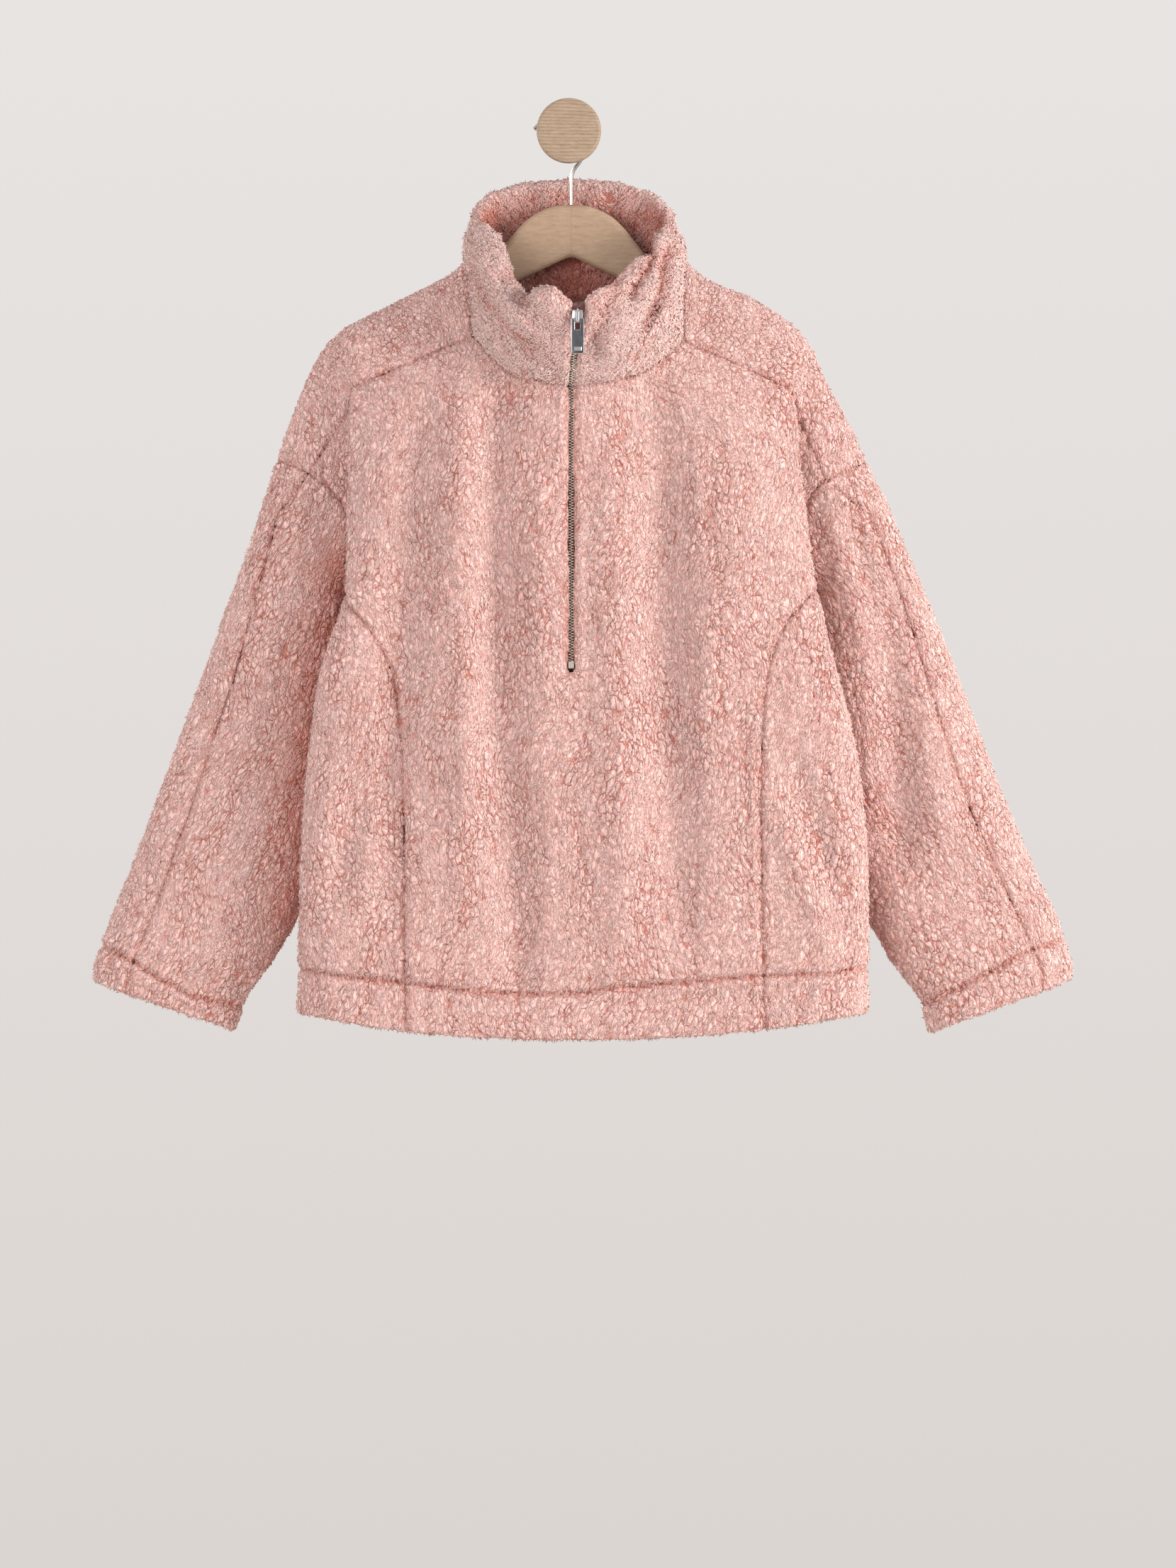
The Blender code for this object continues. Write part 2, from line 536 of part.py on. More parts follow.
def squashed(place, wall):
    """The wall's thickness at a place: the pile is pressed thin in the fold of the underarm."""
    side = RIGHT if place[0] > AXIS_X else LEFT
    crotch = np.array((AXIS_X + side * UNDERARM_OUT[side], place[1], BODY_TOP - 4))
    near = np.linalg.norm((place - crotch) * (1, 1, 0.7))
    hidden = np.interp(place[1], (-72, -56, -14, -8), (0, 1, 1, 0))
    share = np.clip((near - 4) / 18, 0, 1)
    return wall * (1 - UNDERARM_SQUASH * hidden * (1 - share))


def cut_panel(skin, panel, finish):
    """Cuts one panel from the skin, short of its seams, and gives it its wall."""
    numbers = [n for n, owner in enumerate(skin.panels) if owner == panel]
    cells = [skin.cells[n] for n in numbers]
    own = set(numbers)
    shifts, on_seam = {}, set()
    rims = []
    for cell in cells:
        centre = skin.points[cell].mean(axis=0)
        for a, b in zip(cell, cell[1:] + cell[:1]):
            users = skin.sides[frozenset((a, b))]
            if len([n for n in users if n in own]) == 2:
                continue
            rims.append((a, b))
            if len(users) == 2:
                along = skin.points[b] - skin.points[a]
                across = unit(np.cross(along, skin.normals[a] + skin.normals[b]))
                across *= np.sign(np.dot(across, centre - skin.points[a]))
                for k in (a, b):
                    shifts.setdefault(k, []).append(across)
                    on_seam.add(k)
    used = sorted({k for cell in cells for k in cell})
    outer, inner = {}, {}
    points = []
    for k in used:
        shift = np.zeros(3)
        if k in shifts:
            total = np.sum(shifts[k], axis=0)
            first = shifts[k][0]
            shift = HALF_GAP * total / max(np.dot(total, first), 0.35)
        dip = skin.dip[k] + (SEAM_DIP if k in on_seam else 0)
        outer[k] = len(points)
        points.append(skin.points[k] + shift - skin.normals[k] * min(dip, STITCH_DIP))
        inner[k] = len(points)
        thick = squashed(skin.points[k], WALL + skin.extra[k])
        points.append(skin.points[k] + shift - skin.normals[k] * thick)
    faces = []
    for a, b, c, d in cells:
        shorter = (np.linalg.norm(skin.points[a] - skin.points[c])
                   <= np.linalg.norm(skin.points[b] - skin.points[d]))
        halves = ((a, b, c), (a, c, d)) if shorter else ((a, b, d), (b, c, d))
        for half in halves:
            faces.append([outer[k] for k in half])
            faces.append([inner[k] for k in half[::-1]])
    for a, b in rims:
        if a < b:
            faces += [(outer[b], outer[a], inner[b]), (outer[a], inner[a], inner[b])]
        else:
            faces += [(outer[b], outer[a], inner[a]), (outer[b], inner[a], inner[b])]
    return solid(panel, points, faces, finish)


def collar(skin, neck, finish):
    """The doubled stand collar, a thick wall round the neck that is open at the zip."""
    stations = []
    for side in (LEFT, RIGHT):
        base = neck[side]
        along = arcs(np.array(base)) / arcs(np.array(base))[-1]
        rim = np.array(COLLAR_RIM[side], float)
        half = []
        tangents = np.gradient(np.array(base), axis=0)
        for place, share, tangent in zip(base, along, tangents):
            key = skin.point(place)
            out, deep, z = at(rim[:, 0], rim[:, 1:], share)
            crest = np.array((AXIS_X + side * out if side == LEFT else AXIS_X + out, deep, z))
            outward = crest - (AXIS_X, COLLAR_CENTRE_Y, crest[2])
            outward = unit(outward * (1, 1, 0))
            if share < 0.1:
                outward = np.array((0.0, -1.0, 0.0))
            start = skin.points[key]
            rise = unit(crest - start)
            inward = unit(np.cross(tangent, rise))
            inward *= -np.sign(np.dot(inward, outward))
            start = start + rise * COLLAR_GAP
            within = start + inward * WALL
            half.append(collar_profile(start, within, crest, outward))
        stations.append(half)
    rings = stations[0] + stations[1][-2::-1]
    count = len(rings[0])
    points = [p for ring in rings for p in ring]
    faces = []
    for r in range(len(rings) - 1):
        for k in range(count):
            n = (k + 1) % count
            faces.append((r * count + k, r * count + n, (r + 1) * count + n, (r + 1) * count + k))
    last = (len(rings) - 1) * count
    faces.append(tuple(range(count))[::-1])
    faces.append(tuple(last + k for k in range(count)))
    made = solid("collar", points, faces, finish)
    mesh = bmesh.new()
    mesh.from_mesh(made.data)
    bmesh.ops.recalc_face_normals(mesh, faces=mesh.faces)
    bmesh.ops.triangulate(mesh, faces=mesh.faces)
    mesh.to_mesh(made.data)
    mesh.free()
    return made


def collar_profile(start, within, crest, outward):
    """The collar's cut: up the outer face, over the rolled rim and down the inner face."""
    up = unit(crest - start)
    outer_rim, inner_rim = crest + outward * RIM_HALF, crest - outward * RIM_HALF
    bulge = (start + outer_rim) / 2 + outward * COLLAR_BULGE
    hollow = (within + inner_rim) / 2 + outward * COLLAR_BULGE * 0.6

    def arch(a, b, c, t):
        return (1 - t)**2 * a + 2 * t * (1 - t) * b + t * t * c

    outer_face = [arch(start, bulge, outer_rim, t) for t in (0, 0.25, 0.5, 0.75, 1)]
    roll = [crest + outward * RIM_HALF * math.cos(a) + up * RIM_HALF * math.sin(a)
            for a in (math.pi / 4, math.pi / 2, 3 * math.pi / 4)]
    inner_face = [arch(inner_rim, hollow, within, t) for t in (0, 0.25, 0.5, 0.75, 1)]
    return outer_face + roll + inner_face


def lathe(name, profile, centre, finish, sides=32):
    """A turned piece along Y: the profile holds (radius, y) from one end to the other."""
    rings = [[(centre[0] + r * math.cos(2 * math.pi * k / sides), y,
               centre[1] + r * math.sin(2 * math.pi * k / sides)) for k in range(sides)]
             for r, y in profile]
    points = [p for ring in rings for p in ring]
    faces = [tuple(range(sides)), tuple((len(rings) - 1) * sides + k for k in range(sides))[::-1]]
    for r in range(len(rings) - 1):
        for k in range(sides):
            n = (k + 1) % sides
            faces.append((r * sides + k, (r + 1) * sides + k, (r + 1) * sides + n, r * sides + n))
    made = solid(name, points, faces, finish)
    face_out(made)
    return made


def face_out(made):
    mesh = bmesh.new()
    mesh.from_mesh(made.data)
    bmesh.ops.recalc_face_normals(mesh, faces=mesh.faces)
    mesh.to_mesh(made.data)
    mesh.free()


def box(name, low, high, finish):
    points = [(x, y, z) for x in (low[0], high[0]) for y in (low[1], high[1]) for z in (low[2], high[2])]
    faces = [(0, 1, 3, 2), (4, 6, 7, 5), (0, 4, 5, 1), (2, 3, 7, 6), (0, 2, 6, 4), (1, 5, 7, 3)]
    made = solid(name, points, faces, finish)
    face_out(made)
    return made


def slab(name, outline, low_y, high_y, finish, bevel=0.0, segments=2):
    """A flat piece cut to an outline of (x, z), with softened edges."""
    count = len(outline)
    points = [(x, low_y, z) for x, z in outline] + [(x, high_y, z) for x, z in outline]
    faces = [tuple(range(count)), tuple(range(count, 2 * count))[::-1]]
    faces += [(k, k + count, (k + 1) % count + count, (k + 1) % count) for k in range(count)]
    made = solid(name, points, faces, finish)
    face_out(made)
    if bevel:
        rounding = made.modifiers.new("softened edges", "BEVEL")
        rounding.width, rounding.segments = bevel * MM, segments
        rounding.limit_method, rounding.angle_limit = "ANGLE", math.radians(50)
        rounding.use_clamp_overlap = False
    return made


def ribbon(name, path, low_x, high_x, back, thick, finish, tilt=0.0):
    """A band along a path of (x, y, z): from low_x to high_x beside it, thick in depth,
    with its outer edges set back by tilt for each millimetre."""
    low_y, high_y = back + tilt * abs(low_x), back + tilt * abs(high_x)
    rows = [[(x + low_x, y + low_y, z), (x + high_x, y + high_y, z),
             (x + high_x, y + high_y + thick, z), (x + low_x, y + low_y + thick, z)] for x, y, z in path]
    points = [p for row in rows for p in row]
    faces = [(0, 1, 2, 3), tuple(4 * (len(rows) - 1) + k for k in (3, 2, 1, 0))]
    for r in range(len(rows) - 1):
        for k in range(4):
            n = (k + 1) % 4
            faces.append((4 * r + k, 4 * (r + 1) + k, 4 * (r + 1) + n, 4 * r + n))
    made = solid(name, points, faces, finish)
    face_out(made)
    return made


# ------------------------------------------------------------------ hanger and peg
def hanger_outline():
    """Half outline of the hanger: the arch, the neck's flare and the sloping arm."""
    arch = [(0, HANGER_CROWN), (16, HANGER_CROWN - 1.0), (35, HANGER_CROWN - 9.5),
            (47, HANGER_CROWN - 20), (56, HANGER_CROWN - 31), (66, HANGER_CROWN - 44)]
    return [tuple(p) for p in smooth(arch, 3)] + [(80, HANGER_CROWN - 57), (96, HANGER_CROWN - 66)]


def under_fleece(skin, ridge, out):
    """Height of the hanger's arm, just under the fleece of the shoulder's top."""
    keys = [skin.point(place) for place in ridge]
    within = skin.points[keys] - skin.normals[keys] * WALL
    return np.interp(out, np.abs(within[:, 0] - AXIS_X), within[:, 2]) - HANGER_CLEAR


def hanger(skin, ridges, finish):
    outline = []
    for side in (RIGHT, LEFT):
        arm = [(out, under_fleece(skin, ridges[side], out) - np.interp(out, (112, 128), (2.5, 0)))
               for out in (112, 128, 145, 160, 174)]
        half = hanger_outline() + arm
        half += [(HANGER_END + out, arm[-1][1] + drop) for out, drop in HANGER_TIP]
        half += [(HANGER_END - 60, HANGER_NOTCH - 61), (64, HANGER_NOTCH - 30)]
        placed_half = [(AXIS_X + side * out, z) for out, z in half]
        if side == RIGHT:
            outline += placed_half + [(AXIS_X, HANGER_NOTCH)]
        else:
            outline += placed_half[:0:-1]
    low, high = HANGER_Y - HANGER_THICK / 2, HANGER_Y + HANGER_THICK / 2
    return slab("hanger", outline, low, high, finish, bevel=5.0, segments=3)


def hook(finish):
    """The wire hook: over the peg's post, round its right side and down to the hanger."""
    loop = 19.0
    centre_z = POST_RADIUS + 0.3 + HOOK_RADIUS - loop
    route = [(-31.3, 2.6), (-27, 6.5), (-19.5, 9.3)]
    route += [(-loop * math.sin(math.radians(a)) * 1.0, centre_z + loop * math.cos(math.radians(a)))
              for a in (25, 0, -28, -56, -84, -108)]
    route += [(12.5, -22.5), (8.6, -28.4), (5.0, -33.2), (2.9, -38), (AXIS_X, -44),
              (AXIS_X, HANGER_CROWN + 0.4)]
    curve = smooth(route, 4)
    path = bpy.data.curves.new("hook", "CURVE")
    path.dimensions = "3D"
    spline = path.splines.new("POLY")
    spline.points.add(len(curve) - 1)
    for point, (x, z) in zip(spline.points, curve):
        point.co = (x * MM, HANGER_Y * MM, z * MM, 1)
    path.bevel_depth, path.bevel_resolution, path.use_fill_caps = HOOK_RADIUS * MM, 2, True
    path.materials.append(finish)
    made = bpy.data.objects.new("hook", path)
    bpy.context.scene.collection.objects.link(made)
    return made


# ------------------------------------------------------------------ zip
SLIDER_Z = -170.0
PULL_AXIS_Z = -172.6
CHAIN_HALF, CHAIN_THICK = 2.5, 3.6


def zip_path(skin, neck):
    """Down the zip, on the fleece's outer face, from the slider to below the stop."""
    rows = sorted({round(float(p[2]), 3): float(p[1]) for p, cell_dip in zip(skin.points, skin.dip)
                   if abs(p[0] - (AXIS_X - SLIT_HALF)) < 0.02 and p[1] < -60}.items(), reverse=True)
    body = [(AXIS_X, y, z) for z, y in rows]
    base = body[0]
    rim_z = COLLAR_RIM[LEFT][0][3]
    top = (AXIS_X + ZIP_LEAN * (SLIDER_Z - 6 - base[2]) / (rim_z - base[2]), -116.0, SLIDER_Z - 6)
    climb = [tuple(np.array(top) * (1 - t) + np.array(base) * t + np.array((0, -3.0, 0)) * 4 * t * (1 - t))
             for t in (0, 0.33, 0.67)]
    return climb + body


def slider(finish):
    """The slider: two plates joined at the crown, with a bridge that holds the pull tab."""
    x, y = AXIS_X + SLIDER_LEAN, -117.0
    half, top, low = 4.5, SLIDER_Z + 5.6, SLIDER_Z - 5.6
    front, plate = y - 3.2, 1.4
    section = [(front, low), (front + plate, low), (front + plate, top - 3), (front + 7.4, top - 3),
               (front + 7.4, low), (front + 7.4 + plate, low), (front + 7.4 + plate, top), (front, top)]
    body = bar("slider", section, x - half, x + half, finish)
    bridge_y = front - 4.6
    arch = [(front + 0.5, SLIDER_Z + 4.2), (bridge_y + 1.0, SLIDER_Z + 4.2), (bridge_y, SLIDER_Z + 3.2),
            (bridge_y, SLIDER_Z - 4.2), (bridge_y + 1.0, SLIDER_Z - 5.2), (front + 0.5, SLIDER_Z - 5.2),
            (front + 0.5, SLIDER_Z - 4.0), (bridge_y + 1.5, SLIDER_Z - 4.0), (bridge_y + 1.2, SLIDER_Z - 3.6),
            (bridge_y + 1.2, SLIDER_Z + 2.4), (bridge_y + 1.5, SLIDER_Z + 3.0), (front + 0.5, SLIDER_Z + 3.0)]
    bridge = bar("bridge", arch, x - 1.3, x + 1.3, finish)
    join = body.modifiers.new("bridge", "BOOLEAN")
    join.operation, join.object = "UNION", bridge
    bridge.hide_render, bridge.display_type = True, "WIRE"
    return body


def bar(name, section, low_x, high_x, finish):
    """A section of (y, z) pushed along X."""
    count = len(section)
    points = [(low_x, y, z) for y, z in section] + [(high_x, y, z) for y, z in section]
    faces = [tuple(range(count)), tuple(range(count, 2 * count))[::-1]]
    faces += [(k, (k + 1) % count, (k + 1) % count + count, k + count) for k in range(count)]
    made = solid(name, points, faces, finish)
    face_out(made)
    return made


def pull_tab(finish):
    """The flat pull tab: a plate with a slot, whose top bar lies in the slider's bridge."""
    half, length, thick, bar_half = 5.9, 31.0, 1.5, 0.9
    slot_half, slot_long = 2.4, 9.5
    x, y = AXIS_X + SLIDER_LEAN, -117.0 - 3.2 - 1.7
    low, high = y - thick / 2, y + thick / 2
    outer = [(-half, bar_half - 0.6), (-half + 0.6, bar_half), (half - 0.6, bar_half), (half, bar_half - 0.6),
             (half, -length + 1.2), (half - 1.2, -length), (-half + 1.2, -length), (-half, -length + 1.2)]
    hole = [(-slot_half, -bar_half), (slot_half, -bar_half), (slot_half, -slot_long),
            (-slot_half, -slot_long)]
    plate = slab("pull_tab", outer, low, high, finish)
    cutter = slab("pull_slot", hole, low - 1, high + 1, finish)
    cutter.hide_render, cutter.display_type = True, "WIRE"
    cut = plate.modifiers.new("slot", "BOOLEAN")
    cut.operation, cut.object = "DIFFERENCE", cutter
    for piece in (plate, cutter):
        piece.location = (x * MM, 0, PULL_AXIS_Z * MM)
    return plate


# ------------------------------------------------------------------ build
def build():
    for old in list(bpy.data.objects):
        bpy.data.objects.remove(old, do_unlink=True)
    fleece = material("pink sherpa fleece", (0.74, 0.40, 0.36), 0.95)
    beech = material("pale beech", (0.58, 0.42, 0.27), 0.5)
    steel = material("bright steel wire", (0.62, 0.61, 0.58), 0.25, 1.0)
    silver = material("antique silver zip", (0.42, 0.40, 0.37), 0.35, 1.0)
    tape = material("zip tape", (0.45, 0.24, 0.22), 0.9)

    skin, neck, ridges = panel_skin()
    for panel in sorted(set(skin.panels)):
        cut_panel(skin, panel, fleece)
    collar(skin, neck, fleece)

    path = zip_path(skin, neck)
    stop_z = SLIT_Z[1] + 1.0
    chain = [p for p in path if p[2] > stop_z + 6]
    foot = (AXIS_X, chain[-1][1], stop_z + 6.3)
    ribbon("zip_chain", chain + [foot], -CHAIN_HALF, CHAIN_HALF, 1.3, CHAIN_THICK, silver)
    stop_low = (AXIS_X - CHAIN_HALF, foot[1] + 1.0, stop_z)
    box("zip_stop", stop_low, (AXIS_X + CHAIN_HALF, foot[1] + 4.9, stop_z + 6), silver)
    behind = [p for p in path if stop_z - 3 < p[2] < -232]
    for side, word in SIDES.items():
        inner, outer = sorted((side * 0.3, side * 10.5))
        ribbon("zip_tape_" + word, behind, inner, outer, 5.7, 0.9, tape, tilt=0.09)
    slider(silver)
    pull_tab(silver)

    hanger(skin, ridges, beech)
    hook(steel)
    lathe("peg_post", [(POST_RADIUS, 0), (POST_RADIUS, -POST_LENGTH)], (0, 0), beech, 24)
    face = -POST_LENGTH - 0.3
    lathe("peg_disc", [(DISC_RADIUS - 1.5, face), (DISC_RADIUS, face - 1.5),
                       (DISC_RADIUS, face - DISC_THICK + 2), (DISC_RADIUS - 0.8, face - DISC_THICK + 0.6),
                       (DISC_RADIUS - 2.4, face - DISC_THICK)], (0, 0), beech, 48)


build()
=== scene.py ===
# %% [markdown]
# # A sherpa fleece pullover on its hanger
# The garment is cut from curly sherpa fleece: a knitted back with a deep, brushed and curled pile.
# It hangs on a beech hanger, whose wire hook goes over a round wooden wall peg.
# Every panel was made as a plain solid before. Here each one gets its pile, seams and finish.

# %% Load the solids
import math
from functools import partial
import bpy
import numpy as np
from mathutils import Matrix, Vector
from mathutils.bvhtree import BVHTree


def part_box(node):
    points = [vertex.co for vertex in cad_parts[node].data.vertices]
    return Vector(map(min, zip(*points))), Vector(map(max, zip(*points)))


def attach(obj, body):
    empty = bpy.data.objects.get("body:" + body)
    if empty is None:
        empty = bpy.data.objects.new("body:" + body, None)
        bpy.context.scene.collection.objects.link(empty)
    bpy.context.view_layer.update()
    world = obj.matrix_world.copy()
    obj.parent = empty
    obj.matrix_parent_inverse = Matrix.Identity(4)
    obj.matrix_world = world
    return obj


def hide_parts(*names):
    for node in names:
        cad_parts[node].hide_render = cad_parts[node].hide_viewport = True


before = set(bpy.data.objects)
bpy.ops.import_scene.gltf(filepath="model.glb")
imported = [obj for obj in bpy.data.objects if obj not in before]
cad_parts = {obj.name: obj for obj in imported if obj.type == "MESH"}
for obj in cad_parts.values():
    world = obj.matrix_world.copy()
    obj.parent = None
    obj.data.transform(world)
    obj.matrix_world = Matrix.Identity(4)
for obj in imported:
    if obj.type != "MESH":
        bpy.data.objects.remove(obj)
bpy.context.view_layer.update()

MM = 0.001

# %% [markdown]
# ## Camera
# The camera looks level along +Y, so upright seams stay upright.
# A very long lens, from far off, keeps the collar and the sleeves at the chest's scale.

# %% Camera
LENS = 250.0
SENSOR = 36.0
VIEW_HIGH = 1.4130
VIEW_CENTRE = Vector((0.0173, -0.060, -0.589))


def add_object(name, data):
    """Put a new object with this data in the scene."""
    new = bpy.data.objects.new(name, data)
    bpy.context.collection.objects.link(new)
    return new


camera = add_object("camera", bpy.data.cameras.new("camera"))
camera.data.lens = LENS
camera.data.sensor_width = SENSOR
camera.location = VIEW_CENTRE + Vector((0, -VIEW_HIGH * LENS / SENSOR, 0))
camera.rotation_euler = (math.radians(90), 0, 0)
bpy.context.scene.camera = camera
print("camera stands", round((VIEW_CENTRE - camera.location).length, 2), "m away")

# %% [markdown]
# ## Light and floor
# A window-sized area light at the right rakes over the pile, so its curls throw short soft shadows.
# The pale world, brightest straight up and at its horizon, and a weak light at the front left fill them.
# A third light, behind, shows the folds of the back. The floor lies well below the garment.

# %% Nodes and colours
def colour(text):
    """Turn an sRGB hex value into the linear colour that a node takes."""
    parts = [int(text[k:k + 2], 16) / 255 for k in (1, 3, 5)]
    return [p / 12.92 if p <= 0.04045 else ((p + 0.055) / 1.055) ** 2.4 for p in parts] + [1.0]


def set_inputs(target, inputs):
    """Set or link inputs by name or number, or in order. A node as a value gives its first output."""
    for name, value in inputs.items() if isinstance(inputs, dict) else enumerate(inputs):
        socket = target.inputs[target.inputs.find(name) if isinstance(name, str) else name]
        if isinstance(value, bpy.types.Node):
            value = value.outputs[0]
        if isinstance(value, bpy.types.NodeSocket):
            target.id_data.links.new(value, socket)
        else:
            socket.default_value = value


def node(tree, kind, inputs=(), **settings):
    """Add one node, apply its settings, and set or link its inputs. Math stands for ShaderNodeMath."""
    new = tree.nodes.new(kind if "Node" in kind else "ShaderNode" + kind)
    for name, value in settings.items():
        setattr(new, name, value)
    set_inputs(new, inputs)
    return new


def set_stops(ramp, *stops):
    """Give a colour ramp its stops, from 0 to 1: the place and the sRGB colour of each."""
    elements = ramp.color_ramp.elements
    for place, tint in stops[1:-1]:
        elements.new(place).color = colour(tint)
    elements[0].color, elements[-1].color = colour(stops[0][1]), colour(stops[-1][1])
    return ramp


def new_material(name):
    """A new material, what adds a node to it, its shader, and the place on it that patterns read."""
    paint = bpy.data.materials.new(name)
    paint.use_nodes = True
    add = partial(node, paint.node_tree)
    return paint, add, paint.node_tree.nodes["Principled BSDF"], add("TexCoord").outputs["Object"]


# %% Light and floor
def area_light(name, place, aim, size, power, tint):
    """Add a soft area light that looks at aim."""
    light = add_object(name, bpy.data.lights.new(name, "AREA"))
    light.data.shape = "RECTANGLE"
    light.data.size, light.data.size_y = size
    light.data.energy = power
    light.data.color = colour(tint)[:3]
    light.location = place
    light.rotation_euler = (Vector(aim) - Vector(place)).to_track_quat("-Z", "Y").to_euler()


# the plain transform shows a finish's own colours as they are
bpy.context.scene.view_settings.view_transform = "Standard"
world = bpy.data.worlds.new("pale_room")
world.use_nodes = True
sky = world.node_tree
way = node(sky, "TexCoord").outputs["Generated"]
height = node(sky, "SeparateXYZ", {"Vector": way}).outputs["Z"]
shades = node(sky, "ValToRGB", {"Fac": node(sky, "MapRange", {"Value": height, "From Min": -1.0})})
set_stops(shades, (0.0, "#B4ACA7"), (0.35, "#CCC5C1"), (0.46, "#DAD4D0"), (0.50, "#E2DDDA"),
          (0.54, "#E9E5E3"), (0.65, "#C9C3BF"), (1.0, "#FFFFFF"))
set_inputs(sky.nodes["Background"], {"Color": shades})
bpy.context.scene.world = world

area_light("window", (2.7, -1.15, -0.05), (0.0, -0.05, -0.50), (1.2, 1.6), 108.0, "#FFF8F5")
area_light("behind", (-1.6, 2.4, 0.3), (0.0, -0.05, -0.5), (1.4, 1.6), 55.0, "#FFF8F2")
area_light("fill", (-1.9, -2.3, -0.15), (0.0, -0.05, -0.55), (1.6, 1.6), 46.0, "#FFF8F6")

bpy.ops.object.select_all(action="DESELECT")
bpy.ops.mesh.primitive_plane_add(size=1.0, location=(0, 0, -1.95))
floor = bpy.context.active_object
floor.name = "floor"
floor.scale = (6.0, 5.2, 1.0)
bpy.ops.object.transform_apply()
floor_paint, _, floor_shader, _ = new_material("pale_floor_paint")
set_inputs(floor_shader, {"Base Color": colour("#DDDAD6"), "Roughness": 0.7})
floor.data.materials.append(floor_paint)

# %% [markdown]
# ## Sherpa fleece
# Sherpa is a polyester pile, brushed up and then curled until it stands in soft clumps 4 to 9 mm long.
# Light reaches the tips and dies in the gaps between clumps, so the gaps look deep rose and the tips pale.
# One set of nodes finds the gaps. The shader uses it for colour, and geometry nodes use it for depth,
# so both agree. It reads "rest", each point's place turned so that its Z runs with the hang of the pile.

# %% Gap field
# hung pile has clumps 4.4 mm wide and 9 mm tall; round ones are 5 mm across
HUNG_CELLS, HUNG_SQUEEZE = 228.0, (1.0, 1.0, 0.47)
ROUND_CELLS, ROUND_SQUEEZE = 205.0, (1.0, 1.0, 0.9)
SWAY = 0.0095


def cells(add, place, squeeze, scale, wide):
    """One net of wavy gaps. squeeze shortens the place along each axis, so cells grow longer that way.
    Gives 1 in a gap and 0 on a clump, the place used, and the distance from the clump's edge."""
    hung = add("VectorMath", (place, squeeze), operation="MULTIPLY")
    wander = add("TexNoise", {"Vector": hung, "Scale": 110.0, "Detail": 3.0, "Roughness": 0.6})
    step = add("VectorMath", {0: wander.outputs["Color"], "Scale": SWAY}, operation="SCALE")
    moved = add("VectorMath", (hung, step), operation="ADD")
    edge = add("TexVoronoi", {"Vector": moved, "Scale": scale},
               feature="DISTANCE_TO_EDGE").outputs["Distance"]
    gap = add("MapRange", {"Value": edge, "From Max": wide, "To Min": 1.0, "To Max": 0.0},
              interpolation_type="SMOOTHSTEP")
    return gap, moved, edge


def gap_field(add, place, rounded, wide):
    """Give how far a place lies in a gap of the pile, from 0 on a clump to 1 in a gap,
    the combed place, and how far it is from the edge of its clump.
    rounded is 0 where the clumps hang long and 1 where they are round."""
    hung_gap, moved, hung_edge = cells(add, place, HUNG_SQUEEZE, HUNG_CELLS, wide)
    round_gap, _, round_edge = cells(add, place, ROUND_SQUEEZE, ROUND_CELLS, wide * 0.9)
    near = add("TexNoise", {"Vector": place, "Scale": 45.0, "Detail": 1.0})
    pull = add("Math", (near, 0.9, rounded), operation="MULTIPLY_ADD")
    turn = add("MapRange", {"Value": pull, "From Min": 0.75})
    net = add("Mix", {"Factor": turn, 2: hung_gap, 3: round_gap})
    edge = add("Mix", {"Factor": turn, 2: hung_edge, 3: round_edge})
    # the pile opens on the rounds of the folds and closes between them, in tall bands
    tall = add("VectorMath", (place, (1.0, 0.6, 0.3)), operation="MULTIPLY")
    band = add("TexNoise", {"Vector": tall, "Scale": 34.0, "Detail": 1.0})
    broken = add("TexNoise", {"Vector": moved, "Scale": 170.0, "Detail": 1.0})
    both = add("Math", (band, broken), operation="ADD")
    lively = add("Math", (turn, 0.07, both), operation="MULTIPLY_ADD")
    opened = add("MapRange", {"Value": lively, "From Min": 0.86, "From Max": 1.24, "To Min": 0.2})
    return add("Math", (net, opened), operation="MULTIPLY"), moved, edge


